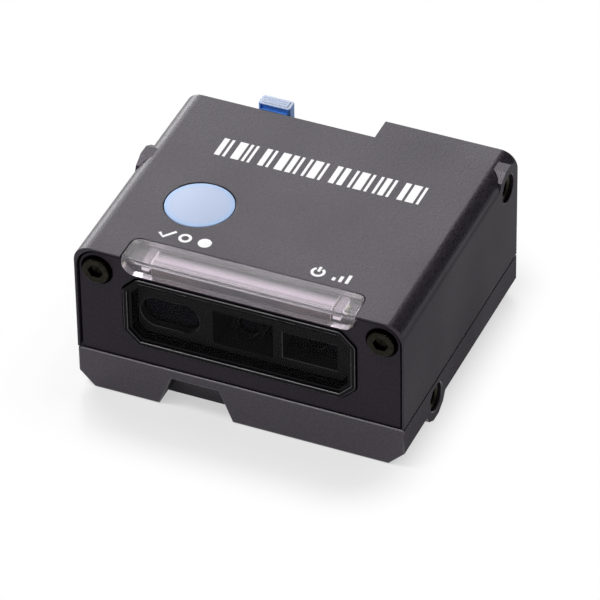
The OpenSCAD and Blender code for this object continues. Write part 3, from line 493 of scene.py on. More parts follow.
def stroke_grid(path, width, low, high):
    """Ink stroke: a flat rectangle carried along a path on the top, square to the path."""
    path = np.array(path, float)
    along = np.gradient(path, axis=0)
    along /= np.linalg.norm(along, axis=1)[:, None]
    across = np.stack([-along[:, 1], along[:, 0]], 1) * width / 2
    left, right = path + across, path - across
    sides = [(left, low), (right, low), (right, high), (left, high)]
    return np.stack([np.column_stack([p, np.full(len(p), z)]) for p, z in sides], 1)


def helix_grid(centre, radius, wire, low, high, turns):
    """Spring: a circle carried along a helix whose ends lie flat, as ground coils do.

    Height rises evenly with the turns, but for a closed share of them at each end.
    """
    share = np.linspace(0, 1, turns * TURN_POINTS + 1)
    angle = 2 * np.pi * turns * share
    closed = 0.12
    eased = np.clip((share - closed) / (1 - 2 * closed), 0, 1)
    height = low + wire + (high - low - 2 * wire) * eased
    round_wire = np.linspace(0, 2 * np.pi, WIRE_POINTS, endpoint=False)
    out = radius + wire * np.cos(round_wire)[None, :]
    x = centre[0] + out * np.cos(angle)[:, None]
    y = centre[1] + out * np.sin(angle)[:, None]
    z = height[:, None] + wire * np.sin(round_wire)[None, :]
    return np.stack([x, y, np.broadcast_to(z, x.shape)], -1)


def arc(centre, radius, start, end):
    """Points of an arc on the top, its angles in degrees."""
    turn = np.radians(np.linspace(start, end, 40))
    return np.array(centre) + radius * np.stack([np.cos(turn), np.sin(turn)], 1)


def mark_strokes():
    """Paths in millimetres on the top, and their widths: bars in one, two or three modules."""
    module, low, high, aside = 0.42, 5.2, 9.3, 0.55
    widths = np.array([2, 1, 3, 1, 1, 2, 1, 3, 2, 1, 1, 3, 1, 2, 2, 1, 3, 1, 1, 2, 1, 2, 3, 1])
    gaps = np.array([1, 2, 1, 1, 3, 1, 2, 1, 1, 2, 1, 1, 3, 1, 2, 1, 1, 2, 1, 1, 3, 1, 1, 0])
    left = np.concatenate([[0], np.cumsum(widths + gaps)[:-1]])
    middle = (left + widths / 2 - (widths + gaps).sum() / 2) * module + aside
    strokes = [(np.array([[x, low], [x, high]]), w * module) for x, w in zip(middle, widths)]
    # A ring stops just short of a full turn, so that its two ends stay apart
    status, level, row, ring = -11.0, 11.4, -14.2, 359.9
    power, foot = level - 2.2, row - 0.95
    strokes += [
        (np.array([[-3.9, 0], [-3.1, -0.8], [-1.7, 0.9]]) + (status, row), 0.45),
        (arc((status, row), 0.75, 0, ring), 0.45),
        (arc((status + 3.0, row), 0.5, 0, ring), 1.0),
        (arc((power, row), 0.85, 125, 415), 0.42),
        (np.array([[power, row + 0.1], [power, row + 1.2]]), 0.42),
    ]
    rising = ((0.4, 0.7), (1.4, 1.3), (2.4, 1.9))
    strokes += [(np.array([[level + x, foot], [level + x, foot + h]]), 0.5) for x, h in rising]
    return strokes


# Materials


def add(tree, kind, inputs, **settings):
    """Adds a shader node with its settings, links or fills its inputs, and returns its outputs."""
    made = tree.nodes.new("ShaderNode" + kind)
    for key, value in settings.items():
        setattr(made, key, value)
    for key, value in inputs.items():
        if isinstance(value, bpy.types.NodeSocket):
            tree.links.new(value, made.inputs[key])
        else:
            made.inputs[key].default_value = value
    return made.outputs


def blank(name, **constants):
    """A new material, its node tree, its Principled shader and its Object coordinates."""
    made = bpy.data.materials.new(name)
    made.use_nodes = True
    tree = made.node_tree
    shader = tree.nodes["Principled BSDF"]
    for key, value in constants.items():
        shader.inputs[key.replace("_", " ")].default_value = value
    return made, tree, shader, add(tree, "TexCoord", {})["Object"]


def feed(tree, shader, **links):
    """Links outputs to the shader's inputs."""
    for key, value in links.items():
        tree.links.new(value, shader.inputs[key.replace("_", " ")])


def moulded(name, tint, grain, depth, rough, spread=0.25, wall_rough=None, painted_shading=None, **constants):
    """Plastic from a textured mould.

    The mould's grit gives a fine speckle in colour, gloss and height, and the flow of the melt
    slow clouds in its gloss. Grain and depth are in millimetres. Side walls, which the mould
    draws along, may have a duller gloss of their own, and painted shading, a painted shade or
    highlight, gives one region another colour.
    """
    made, tree, shader, place = blank(name, **constants)
    grit = add(tree, "TexNoise", {"Vector": place, "Scale": per_mm(grain), "Detail": 2.0})[0]
    cloud = add(tree, "TexNoise", {"Vector": place, "Scale": per_mm(14), "Detail": 1.0})[0]
    share = add(tree, "MapRange", {0: grit, 1: NOISE_LOW, 2: NOISE_HIGH})[0]
    dark, pale = shade(tint, 1 - spread), shade(tint, 1 + spread)
    mix = add(
        tree, "Mix", {FACTOR: share, COLOUR_A: dark, COLOUR_B: pale}, data_type="RGBA"
    )[MIXED]
    # Painted shade or highlight: one region's colour is mixed towards a darker or paler one
    if painted_shading:
        region, other = painted_shading
        mix = add(
            tree,
            "Mix",
            {FACTOR: region(tree, place), COLOUR_A: mix, COLOUR_B: other},
            data_type="RGBA",
        )[MIXED]
    both = add(tree, "Math", {0: grit, 1: cloud}, operation="ADD")[0]
    gloss = add(tree, "MapRange", {0: both, 1: 0.7, 2: 1.3, 3: rough - 0.06, 4: rough + 0.06})[0]
    if wall_rough:
        facing = add(tree, "SeparateXYZ", {0: add(tree, "TexCoord", {})["Normal"]})["X"]
        aside = add(tree, "Math", {0: facing}, operation="ABSOLUTE")[0]
        start, full = WALL_FACING
        extra = add(
            tree, "MapRange", {0: aside, 1: start, 2: full, 3: 0.0, 4: wall_rough - rough}
        )[0]
        gloss = add(tree, "Math", {0: gloss, 1: extra}, operation="ADD")[0]
    bump = add(tree, "Bump", {"Strength": 1.0, "Distance": depth * MM, "Height": grit})[0]
    feed(tree, shader, Base_Color=mix, Roughness=gloss, Normal=bump)
    return made


def outside(tree, place, low, high):
    """Distance outside a box: the length of what lies beyond its half size from its centre."""
    low, high = Vector(low), Vector(high)
    aside = add(tree, "VectorMath", {0: place, 1: (low + high) / 2}, operation="SUBTRACT")[0]
    aside = add(tree, "VectorMath", {0: aside}, operation="ABSOLUTE")[0]
    beyond = add(tree, "VectorMath", {0: aside, 1: (high - low) / 2}, operation="SUBTRACT")[0]
    beyond = add(tree, "VectorMath", {0: beyond, 1: (0, 0, 0)}, operation="MAXIMUM")[0]
    return add(tree, "VectorMath", {0: beyond}, operation="LENGTH")["Value"]


def notch_inside(tree, place):
    """Walls of the notch in the base's front, just behind its face, where shade is painted
    near-black.
    """
    away = outside(tree, place, Vector(NOTCH_LOW) * MM, Vector(NOTCH_HIGH) * MM)
    return add(tree, "MapRange", {0: away, 1: 0.0, 2: 0.1 * MM, 3: 1.0, 4: 0.0})[0]


def tab_ribs(tree, place):
    """The tab's ribbed top, from 0.3 mm below its highest point, where a highlight is painted."""
    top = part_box("release_tab")[1].z
    height = add(tree, "SeparateXYZ", {0: place})["Z"]
    return add(tree, "MapRange", {0: height, 1: top - 0.3 * MM, 2: top - 0.15 * MM})[0]


def button_rim(tree, place):
    """The outer millimetre of the button, where a deeper blue shade is painted."""
    low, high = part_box("status_button")
    middle = (low + high) / 2
    out = add(tree, "VectorMath", {0: place, 1: middle}, operation="SUBTRACT")[0]
    out = add(tree, "VectorMath", {0: out, 1: (1, 1, 0)}, operation="MULTIPLY")[0]
    away = add(tree, "VectorMath", {0: out}, operation="LENGTH")["Value"]
    start, full, most = 3.9 * MM, 5.0 * MM, 0.6
    return add(tree, "MapRange", {0: away, 1: start, 2: full, 3: 0.0, 4: most})[0]


def polished(name, tint, rough, haze=0.04, **constants):
    """Smooth cast or moulded face: a faint unevenness of its gloss, as handling and flow leave."""
    made, tree, shader, place = blank(name, Base_Color=tint, **constants)
    cloud = add(tree, "TexNoise", {"Vector": place, "Scale": per_mm(3), "Detail": 4.0})[0]
    gloss = add(tree, "MapRange", {0: cloud, 1: 0.35, 2: 0.65, 3: rough, 4: rough + haze})[0]
    feed(tree, shader, Roughness=gloss)
    return made


def metal(name, tint, rough, pitch, depth, **constants):
    """Turned or drawn metal: tool marks, with pitch and depth in millimetres, and worn patches."""
    made, tree, shader, place = blank(name, Metallic=1.0, **constants)
    marks = add(
        tree, "TexNoise", {"Vector": place, "Scale": per_mm(pitch), "Detail": 3.0, "Roughness": 0.7}
    )[0]
    patch = add(tree, "TexNoise", {"Vector": place, "Scale": per_mm(0.8), "Detail": 2.0})[0]
    dull = shade(tint, 0.55)
    share = add(tree, "MapRange", {0: patch, 1: 0.35, 2: 0.6})[0]
    mix = add(
        tree, "Mix", {FACTOR: share, COLOUR_A: dull, COLOUR_B: tint}, data_type="RGBA"
    )[MIXED]
    gloss = add(
        tree,
        "MapRange",
        {0: marks, 1: NOISE_LOW, 2: NOISE_HIGH, 3: rough - 0.08, 4: rough + 0.1},
    )[0]
    bump = add(tree, "Bump", {"Strength": 1.0, "Distance": depth * MM, "Height": marks})[0]
    feed(tree, shader, Base_Color=mix, Roughness=gloss, Normal=bump)
    return made


def banded(tree, at, stops):
    """Colour along one coordinate: smooth steps between stops, each a place and a colour."""
    place, mix = stops[0]
    for far, other in stops[1:]:
        share = add(
            tree, "MapRange", {0: at, 1: place, 2: far}, interpolation_type="SMOOTHSTEP"
        )[0]
        mix = add(
            tree, "Mix", {FACTOR: share, COLOUR_A: mix, COLOUR_B: other}, data_type="RGBA"
        )[MIXED]
        place = far
    return mix


def reflector_plastic():
    """Satin polycarbonate under the light bar, painted with the glow and shade it shows through the
    bar.

    Its front goes from blue-grey in the middle to a paler warm grey at the ends, and its top from a
    painted highlight, a pale band behind the front edge, to painted shade, dark at the rear.
    """
    low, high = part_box("light_reflector")
    made, tree, shader, place = blank("satin polycarbonate reflector", Roughness=0.45)
    at = add(tree, "SeparateXYZ", {0: place})
    out = add(tree, "Math", {0: at["X"]}, operation="ABSOLUTE")[0]
    # Painted glow: the front is paler and warmer towards the ends
    front = banded(tree, out, ((3 * MM, linear("#4c4955")), (8 * MM, linear("#75645f"))))
    # Painted highlight behind the front edge, and painted shade towards the rear
    top = banded(
        tree,
        at["Y"],
        (
            (low.y + 0.1 * MM, linear("#9c929a")),
            (low.y + 0.8 * MM, linear("#f4eaf2")),
            (low.y + 2.7 * MM, linear("#3a363b")),
        ),
    )
    over = add(tree, "MapRange", {0: at["Z"], 1: high.z - 0.1 * MM, 2: high.z - 0.02 * MM})[0]
    mix = add(
        tree, "Mix", {FACTOR: over, COLOUR_A: front, COLOUR_B: top}, data_type="RGBA"
    )[MIXED]
    feed(tree, shader, Base_Color=mix)
    return made


def silicone_rubber():
    """Pressed silicone of the gasket and the button's dome: dull, with no clear highlight."""
    name = "grey silicone rubber"
    return bpy.data.materials.get(name) or moulded(name, linear("#45434a"), 0.3, 0.01, 0.6)


def opal_polycarbonate():
    """Milky diffuser with a painted glow: bright on its front, as if the lamp behind it shone, and
    painted greyer on top.
    """
    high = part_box("light_diffusers")[1]
    # Painted glow: the diffuser gives off light of its own colour, though it is no lamp
    made, tree, shader, place = blank("opal polycarbonate", Roughness=0.4, Emission_Strength=0.45)
    height = add(tree, "SeparateXYZ", {0: place})["Z"]
    stops = ((high.z - 0.3 * MM, linear("#fbf7fa")), (high.z - 0.05 * MM, linear("#7d757b")))
    glow = banded(tree, height, stops)
    feed(tree, shader, Base_Color=glow, Emission_Color=glow)
    return made


def board_laminate(name, mask, track):
    """Glass-epoxy board under solder mask: paler copper tracks, tinned pads, glossy lacquer.

    A wave's bands lie 0.314 of its cell apart, so these tracks are 2.5 mm apart, drawn coarser than
    they are so that they show.
    """
    made, tree, shader, place = blank(name, Coat_Weight=0.4)
    tracks = add(
        tree,
        "TexWave",
        {"Vector": place, "Scale": per_mm(8), "Distortion": 6.0, "Detail Scale": 0.4},
        bands_direction="DIAGONAL",
    )[1]
    line = add(tree, "MapRange", {0: tracks, 1: 0.62, 2: 0.7})[0]
    lacquer = add(
        tree,
        "Mix",
        {FACTOR: line, COLOUR_A: linear(mask), COLOUR_B: linear(track)},
        data_type="RGBA",
    )[MIXED]
    spots = add(tree, "TexVoronoi", {"Vector": place, "Scale": per_mm(1.9), "Randomness": 0.4})[0]
    pad = add(tree, "MapRange", {0: spots, 1: 0.2, 2: 0.17})[0]
    mix = add(
        tree,
        "Mix",
        {FACTOR: pad, COLOUR_A: lacquer, COLOUR_B: linear("#b9b5a6")},
        data_type="RGBA",
    )[MIXED]
    gloss = add(tree, "MapRange", {0: pad, 3: 0.32, 4: 0.22})[0]
    bump = add(tree, "Bump", {"Strength": 1.0, "Distance": 0.03 * MM, "Height": line})[0]
    feed(tree, shader, Base_Color=mix, Roughness=gloss, Normal=bump)
    return made


def flex_film():
    """Polyimide film: amber and glossy, its copper tracks 3.1 mm apart, coarse enough to show."""
    made, tree, shader, place = blank("polyimide film with copper tracks", Coat_Weight=0.3)
    tracks = add(tree, "TexWave", {"Vector": place, "Scale": per_mm(10), "Distortion": 0.0})[1]
    line = add(tree, "MapRange", {0: tracks, 1: 0.45, 2: 0.55})[0]
    mix = add(
        tree,
        "Mix",
        {FACTOR: line, COLOUR_A: linear("#b0702a"), COLOUR_B: linear("#8a4a1c")},
        data_type="RGBA",
    )[MIXED]
    bump = add(tree, "Bump", {"Strength": 1.0, "Distance": 0.02 * MM, "Height": line})[0]
    feed(tree, shader, Base_Color=mix, Normal=bump)
    return made


def clear_polycarbonate():
    """Clear moulded bar with a matt inside: light goes through and spreads, edges catch a line.

    The melt runs along the bar and leaves streaks in its gloss, drawn coarser than they are so
    that they show. The IOR is under the usual 1.58, because the bar hardly bends what is behind it.
    """
    made, tree, shader, place = blank(
        "clear polycarbonate",
        Base_Color=linear("#f1ebf1"),
        Transmission_Weight=0.94,
        IOR=1.28,
    )
    drawn = add(tree, "Mapping", {"Vector": place, "Scale": (0.03, 1.0, 1.0)})[0]
    streak = add(tree, "TexNoise", {"Vector": drawn, "Scale": per_mm(0.5), "Detail": 2.0})[0]
    gloss = add(tree, "MapRange", {0: streak, 1: NOISE_LOW, 2: NOISE_HIGH, 3: 0.12, 4: 0.2})[0]
    feed(tree, shader, Roughness=gloss)
    return made


def floor_paper():
    """White studio paper: it keeps the shadow near the object and is plain white beyond."""
    made, tree, shader, place = blank(
        "white studio paper", Base_Color=colours().floor, Specular_IOR_Level=0.35
    )
    grain = add(tree, "TexNoise", {"Vector": place, "Scale": per_mm(2), "Detail": 2.0})[0]
    gloss = add(tree, "MapRange", {0: grain, 1: NOISE_LOW, 2: NOISE_HIGH, 3: 0.2, 4: 0.26})[0]
    feed(tree, shader, Roughness=gloss)
    low, high = CAD_BOX
    # The lamps stand on the left, so the shadow is longest on the right, where it fades sooner
    trim, reach, held = 9 * MM, 15 * MM, 0.3
    away = outside(tree, place, (low.x, low.y, -1), (high.x - trim, high.y, 1))
    ray = add(tree, "LightPath", {})
    wide = add(
        tree,
        "MapRange",
        {0: away, 1: 0.0, 2: reach, 3: held, 4: 1.0},
        interpolation_type="SMOOTHSTEP",
    )[0]
    # Seen straight, the floor keeps only a faint shadow, and a pale grey right by the object
    least = add(tree, "Math", {0: ray["Is Camera Ray"], 1: 0.6}, operation="MULTIPLY")[0]
    far = add(tree, "Math", {0: wide, 1: least}, operation="MAXIMUM")[0]
    seen = ray["Is Camera Ray"]
    for other in ("Is Glossy Ray", "Is Transmission Ray"):
        seen = add(tree, "Math", {0: seen, 1: ray[other]}, operation="MAXIMUM")[0]
    share = add(tree, "Math", {0: far, 1: seen}, operation="MULTIPLY")[0]
    # Painted shadow: the white shown near the object is a pale grey, which fades to white by 14 mm
    # out
    pale = banded(tree, away, ((1 * MM, linear("#eeeeee")), (14 * MM, linear("#ffffff"))))
    white = add(tree, "Emission", {"Color": pale, "Strength": 1.0})[0]
    both = add(tree, "MixShader", {0: share, 1: shader.outputs[0], 2: white})[0]
    tree.links.new(both, tree.nodes["Material Output"].inputs["Surface"])
    return made


def dress(material, *nodes):
    """Gives CAD nodes that stay as they are a material."""
    for name in nodes:
        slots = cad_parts[name].data.materials
        slots.clear()
        slots.append(material)


# Operators


class Maker(bpy.types.Operator):
    """Base of the operators, which all take their sizes from the scene."""

    bl_options = {"REGISTER", "UNDO"}


class READER_OT_housing(Maker):
    """Cover, base and front panel with softened edges, in grained charcoal plastic"""

    bl_idname = "reader.housing"
    bl_label = "Housing"

    def execute(self, context):
        s, c = sizes(), colours()
        violet = linear("#f6ecfa")
        cover_plastic = moulded(
            "spark-eroded charcoal ABS",
            tuple(c.housing),
            grain=0.3,
            depth=0.028,
            rough=0.31,
            spread=0.55,
            wall_rough=0.67,
            IOR=1.53,
            Specular_IOR_Level=0.25,
            Specular_Tint=violet,
        )
        # The cover's grit holds back its gloss; the base keeps more, and its faces catch the floor
        base_plastic = moulded(
            "fine spark-eroded charcoal ABS",
            tuple(c.housing),
            grain=0.3,
            depth=0.035,
            rough=0.33,
            spread=0.55,
            wall_rough=0.8,
            # Painted shade: the notch's walls are coloured near-black
            painted_shading=(notch_inside, linear("#0b0a0c")),
            IOR=1.56,
            Specular_Tint=violet,
        )
        dark_plastic = moulded(
            "fine-grained black ABS",
            tuple(c.panel),
            grain=0.3,
            depth=0.04,
            rough=0.45,
            spread=0.5,
            IOR=1.5,
            Specular_IOR_Level=0.2,
            Specular_Tint=violet,
        )
        cover = ("cover_moulding", "top_cover", s.edge_round, cover_plastic, "housing_plastic")
        softened(*cover, inner=0.45, fillets=True)
        base = ("base_moulding", "base_shell", s.edge_round, base_plastic, "housing_plastic")
        # Painted highlight: the base's rounded edges are coloured paler than the housing
        painted_highlight = polished("charcoal ABS, rubbed edge", linear("#4a454c"), 0.3)
        softened(*base, inner=0.8, edge=painted_highlight)
        softened("panel_moulding", "front_panel", s.fine_round, dark_plastic, "panel_plastic")
        return {"FINISHED"}


class READER_OT_window(Maker):
    """Window ring, tinted pane and gasket"""

    bl_idname = "reader.window"
    bl_label = "Reading window"

    def execute(self, context):
        s, c = sizes(), colours()
        ring = polished(
            "polished black polycarbonate", tuple(c.ring), 0.2, IOR=1.58, Specular_IOR_Level=0.05
        )
        # Painted highlight: the ring's rounded edges are coloured a paler grey
        line = polished("black polycarbonate, painted edge highlight", linear("#4e4a50"), 0.25)
        softened("window_ring", "window_bezel", s.fine_round, ring, "gloss_black", edge=line)
        # A dark clear pane: part of the light is lost on the way in and part on the way out
        pane = polished(
            "smoke-tinted acrylic, coated against glare",
            linear("#060607"),
            rough=0.06,
            haze=0.03,
            IOR=1.49,
            Specular_IOR_Level=0.06,
            Alpha=0.4,
        )
        dress(pane, "window_glass")
        dress(silicone_rubber(), "window_gasket")
        return {"FINISHED"}


class READER_OT_light_bar(Maker):
    """Clear bar over the top front edge with its reflector, diffusers and lamps"""

    bl_idname = "reader.light_bar"
    bl_label = "Light bar"

    def execute(self, context):
        fine = sizes().fine_round
        softened("light_bar", "light_pipe", fine, clear_polycarbonate(), "clear_plastic")
        # Painted highlight: the reflector's rounded edges are coloured near-white
        bright = polished("polycarbonate edge with painted highlight", linear("#fbf6fa"), 0.3)
        strip = ("reflector_strip", "light_reflector", fine, reflector_plastic(), "grey_plastic")
        softened(*strip, edge=bright)
        dress(opal_polycarbonate(), "light_diffusers")
        cast = polished("cast epoxy with phosphor", linear("#e9e2b4"), 0.2, Coat_Weight=0.5)
        dress(cast, "indicator_leds", "illumination_leds")
        return {"FINISHED"}


class READER_OT_optics(Maker):
    """Chassis, lenses and barrels behind the pane"""

    bl_idname = "reader.optics"
    bl_label = "Optics"

    def execute(self, context):
        nylon = moulded("black glass-filled nylon", linear("#1f1e23"), 0.3, 0.01, 0.45)
        # Painted highlight: the chassis's rounded lips are coloured pale grey
        lip = polished("glass-filled nylon, painted lip highlight", linear("#a09da3"), 0.25)
        chassis = ("chassis_moulding", "optical_chassis", sizes().fine_round, nylon)
        softened(*chassis, "chassis_black", edge=lip)
        # Coated lenses over dark bores show no more than a violet gleam
        coated = polished(
            "coated optical glass",
            linear("#07070a"),
            rough=0.2,
            haze=0.05,
            IOR=1.52,
            Specular_IOR_Level=0.15,
            Specular_Tint=linear("#b8a8ff"),
        )
        dress(coated, "camera_lens", "aimer_lens", "illumination_lens")
        black = metal("black-anodised aluminium", linear("#26252a"), 0.45, 0.15, 0.004)
        dress(black, "camera_barrel", "aimer_module")
        return {"FINISHED"}


class READER_OT_button(Maker):
    """Pale blue status button, which rides with its own body, its plunger and rubber dome"""

    bl_idname = "reader.button"
    bl_label = "Status button"

    def execute(self, context):
        satin = moulded(
            "satin pale blue ABS",
            tuple(colours().button),
            grain=0.3,
            depth=0.004,
            rough=0.5,
            spread=0.03,
            # Painted shade: the button's outer millimetre turns a deeper blue
            painted_shading=(button_rim, linear("#93bdee")),
            IOR=1.5,
        )
        softened("button_cap", "status_button", sizes().fine_round, satin, "button_blue", "button")
        rubber, node = silicone_rubber(), "switch_dome"
        dome = finish_piece("rubber_dome", merged(node), rubber, "housing", node)
        pressed(dome)
        white = moulded("white acetal", linear("#ebe8ea"), 0.3, 0.005, 0.4, 0.03)
        dress(white, "switch_plunger")
        return {"FINISHED"}


class READER_OT_tab(Maker):
    """Blue release tab, which rides with its own body, and its return spring"""

    bl_idname = "reader.tab"
    bl_label = "Release tab"

    def execute(self, context):
        s = sizes()
        # Painted highlight: the ribbed top is coloured pale, as if it caught the light
        painted_highlight = (tab_ribs, linear("#b8c4dc"))
        acetal = moulded(
            "blue acetal", tuple(colours().tab), 0.3, 0.004, 0.4, 0.05, painted_shading=painted_highlight, IOR=1.48
        )
        softened("tab_moulding", "release_tab", s.fine_round, acetal, "tab_blue", "tab")
        low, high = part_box("release_spring")
        centre = (low + high) / 2
        radius = (high.x - low.x) / 2 - s.wire_radius
        wire = metal("drawn spring steel", linear("#a8a6a0"), 0.3, 0.1, 0.003)
        coil = helix_grid(centre, radius, s.wire_radius, low.z, high.z, turns=5)
        spring = finish_piece(
            "tab_spring", skinned([coil]), wire, "housing", "release_spring"
        )
        pressed(spring)
        return {"FINISHED"}


class READER_OT_screws(Maker):
    """Knurled front screws, and the plainer screws of cover and board, with cut threads"""

    bl_idname = "reader.screws"
    bl_label = "Screws"

    def execute(self, context):
        s = sizes()
        oxide = metal("black-oxide steel", linear("#26241e"), 0.3, 0.12, 0.004)
        zinc = metal("zinc-plated steel", linear("#9d9b95"), 0.34, 0.12, 0.004)
        front = (s.front_head, s.front_flats, s.front_depth, s.front_shank, s.knurl_count)
        inner = (s.inner_head, s.inner_flats, s.inner_depth, s.inner_shank, 0)
        for name, node, axis, build, finish, slot in (
            ("knurled_screws", "front_screws", (0, 1, 0), front, oxide, "dark_steel"),
            ("underside_screws", "cover_screws", (0, 0, 1), inner, zinc, "steel"),
            ("pan_screws", "board_screws", (0, 0, -1), inner, zinc, "steel"),
        ):
            grids = []
            for low, high in solids(node):
                middle, half = (low + high) / 2, (high - low) / 2
                face, total = middle - half * axis, 2 * abs(half @ axis)
                grids.append(screw_grid(face, axis, half[0], total, *build))
            finish_piece(name, skinned(grids), finish, "housing", node)
        return {"FINISHED"}


class READER_OT_inserts(Maker):
    """Threaded inserts of the three side bosses"""

    bl_idname = "reader.inserts"
    bl_label = "Side inserts"

    def execute(self, context):
        brass = metal("blackened brass", linear("#2e2a20"), 0.4, 0.15, 0.004)
        grids = []
        for low, high in solids("mounting_inserts"):
            middle, half = (low + high) / 2, (high - low) / 2
            axis = (-1, 0, 0) if low[0] > 0 else (1, 0, 0)
            face, total = middle - half * axis, 2 * half[0]
            grids.append(insert_grid(face, axis, half[2], sizes().insert_bore, total))
        mesh = skinned(grids, wrap=True)
        finish_piece("threaded_inserts", mesh, brass, "housing", "mounting_inserts")
        return {"FINISHED"}


class READER_OT_electronics(Maker):
    """Boards, chips, flex film, contacts and the cable socket"""

    bl_idname = "reader.electronics"
    bl_label = "Electronics"

    def execute(self, context):
        green = board_laminate("green solder mask on glass epoxy", "#134229", "#1f6a43")
        dress(green, "main_board", "sensor_board")
        grey = board_laminate("grey solder mask on glass epoxy", "#474348", "#524e53")
        dress(grey, "indicator_board")
        epoxy = moulded("moulded black epoxy", linear("#242427"), 0.2, 0.008, 0.5)
        dress(epoxy, "processor", "memory_chip", "image_sensor", "beeper", "switch_case")
        ferrite = moulded("ferrite and ceramic", linear("#6a6055"), 0.4, 0.01, 0.5)
        dress(ferrite, "board_components")
        dress(flex_film(), "flex_cable")
        gold = metal("gold plating", linear("#d8b25a"), 0.25, 0.1, 0.002)
        dress(gold, "socket_contacts")
        body = moulded("black polyester", linear("#202022"), 0.3, 0.006, 0.45)
        softened("socket_moulding", "cable_socket", sizes().fine_round, body, "chassis_black")
        return {"FINISHED"}


class READER_OT_marks(Maker):
    """White printed marks on the cover: a row of bars and small signs by button and lamp"""

    bl_idname = "reader.marks"
    bl_label = "Printed marks"

    def execute(self, context):
        ink = moulded("white pad-printing ink", tuple(colours().ink), 0.2, 0.002, 0.5, 0.02)
        # The ink lies on the cover's top face and reaches a little into it
        top, ink_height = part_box("top_cover")[1].z, sizes().ink_height
        low, high = top - ink_height / 4, top + ink_height
        strokes = [stroke_grid(p * MM, w * MM, low, high) for p, w in mark_strokes()]
        finish_piece("top_marks", skinned(strokes), ink, "housing")
        return {"FINISHED"}


# Camera fitted to the photograph: focal length in pixels of a 600 pixel frame, angles in degrees,
# the aim and the offsets across and up in millimetres
PHOTO_FOCAL, PHOTO_SIDE = 5506.3, 600
PHOTO_TURN, PHOTO_RISE, PHOTO_ROLL = 23.66, 38.62, -0.95
PHOTO_AIM, PHOTO_ACROSS, PHOTO_UP, PHOTO_DISTANCE = (0, 0.65, 12), 0.03, 4.48, 786.39
SENSOR_WIDTH = 36

# Softboxes: name, direction of the light's source, angle that it fills in degrees, and strength
LAMPS = (
    ("overhead softbox", (-0.31, -0.18, 0.93), 18, 1.5),
    ("rear left softbox", (-0.48, 0.67, 0.57), 40, 1.42),
    ("left rim softbox", (-0.72, 0.69, 0.06), 36, 1.8),
    ("front softbox", (-0.32, -0.63, 0.71), 38, 0.65),
)
WORLD_GREY = (0.13, 0.13, 0.133, 1)


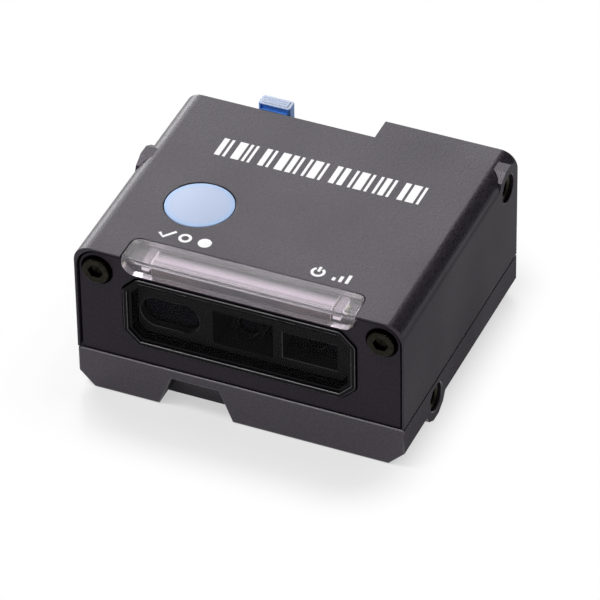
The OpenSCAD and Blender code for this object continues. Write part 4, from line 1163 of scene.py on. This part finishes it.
class READER_OT_stage(Maker):
    """Pale floor, soft lamps, world and the camera at the photograph's angle"""

    bl_idname = "reader.stage"
    bl_label = "Stage"

    def execute(self, context):
        scene = context.scene
        scene.view_settings.view_transform = "Standard"
        self.place_camera(scene)
        self.place_floor(scene)
        self.place_lamps(scene)
        return {"FINISHED"}

    def place_camera(self, scene):
        """The camera looks along minus back, with right across the picture and up along it."""
        turn, rise, roll = (math.radians(a) for a in (PHOTO_TURN, PHOTO_RISE, PHOTO_ROLL))
        back = np.array(
            [math.sin(turn) * math.cos(rise), -math.cos(turn) * math.cos(rise), math.sin(rise)]
        )
        level = np.array([math.cos(turn), math.sin(turn), 0])
        upright = np.cross(back, level)
        right = math.cos(roll) * level + math.sin(roll) * upright
        up = math.cos(roll) * upright - math.sin(roll) * level
        eye = np.array(PHOTO_AIM) - PHOTO_ACROSS * right - PHOTO_UP * up + PHOTO_DISTANCE * back
        data = bpy.data.cameras.new("photo camera")
        data.sensor_width = SENSOR_WIDTH
        data.lens = PHOTO_FOCAL * SENSOR_WIDTH / PHOTO_SIDE
        data.clip_start, data.clip_end = 0.01, 50
        camera = bpy.data.objects.new("photo_camera", data)
        scene.collection.objects.link(camera)
        place = Matrix.Identity(4)
        for column, axis in enumerate((right, up, back, eye * MM)):
            place.col[column][:3] = axis
        camera.matrix_world = place
        scene.camera = camera

    def place_floor(self, scene):
        """A flat grid of points just under the base."""
        reach, count, drop = 6.0, 13, 0.02 * MM
        line = np.linspace(-reach, reach, count)
        x, y = np.meshgrid(line, line, indexing="ij")
        points = np.stack([x, y, np.full_like(x, -drop)], -1).reshape(-1, 3)
        index = np.arange(count * count).reshape(count, count)
        faces = np.stack([index[:-1, :-1], index[1:, :-1], index[1:, 1:], index[:-1, 1:]], -1)
        data = bpy.data.meshes.new("floor")
        data.from_pydata(points, [], faces.reshape(-1, 4).tolist())
        data.materials.append(floor_paper())
        floor = bpy.data.objects.new("floor", data)
        scene.collection.objects.link(floor)

    def place_lamps(self, scene):
        """Far softboxes: each a disc of light of some angle in one direction."""
        world = bpy.data.worlds.new("studio")
        scene.world = world
        world.use_nodes = True
        world.node_tree.nodes["Background"].inputs["Color"].default_value = WORLD_GREY
        for name, toward, spread, strength in LAMPS:
            data = bpy.data.lights.new(name, "SUN")
            data.angle = math.radians(spread)
            data.energy = strength
            lamp = bpy.data.objects.new(name.replace(" ", "_"), data)
            lamp.rotation_mode = "QUATERNION"
            lamp.rotation_quaternion = Vector(toward).to_track_quat("Z", "Y")
            scene.collection.objects.link(lamp)


MAKERS = (
    READER_OT_stage,
    READER_OT_housing,
    READER_OT_window,
    READER_OT_light_bar,
    READER_OT_optics,
    READER_OT_button,
    READER_OT_tab,
    READER_OT_screws,
    READER_OT_inserts,
    READER_OT_electronics,
    READER_OT_marks,
)


class READER_PT_panel(bpy.types.Panel):
    """Sizes, colours and makers of the reader"""

    bl_label = "Barcode reader"
    bl_idname = "READER_PT_panel"
    bl_space_type = "VIEW_3D"
    bl_region_type = "UI"
    bl_category = "Reader"

    def draw(self, context):
        for group in (context.scene.reader_sizes, context.scene.reader_colours):
            box = self.layout.box()
            for name in group.__annotations__:
                box.prop(group, name)
        for maker in MAKERS:
            self.layout.operator(maker.bl_idname)


CLASSES = (ReaderSizes, ReaderColours, *MAKERS, READER_PT_panel)


def register():
    """Registers the classes and gives the scene its sizes and colours."""
    for item in CLASSES:
        bpy.utils.register_class(item)
    bpy.types.Scene.reader_sizes = PointerProperty(type=ReaderSizes)
    bpy.types.Scene.reader_colours = PointerProperty(type=ReaderColours)


def unregister():
    """Takes back what register did."""
    del bpy.types.Scene.reader_colours
    del bpy.types.Scene.reader_sizes
    for item in reversed(CLASSES):
        bpy.utils.unregister_class(item)


def main():
    """Registers the add-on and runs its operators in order."""
    register()
    for maker in MAKERS:
        group, action = maker.bl_idname.split(".")
        getattr(getattr(bpy.ops, group), action)()


if __name__ == "__main__":
    main()
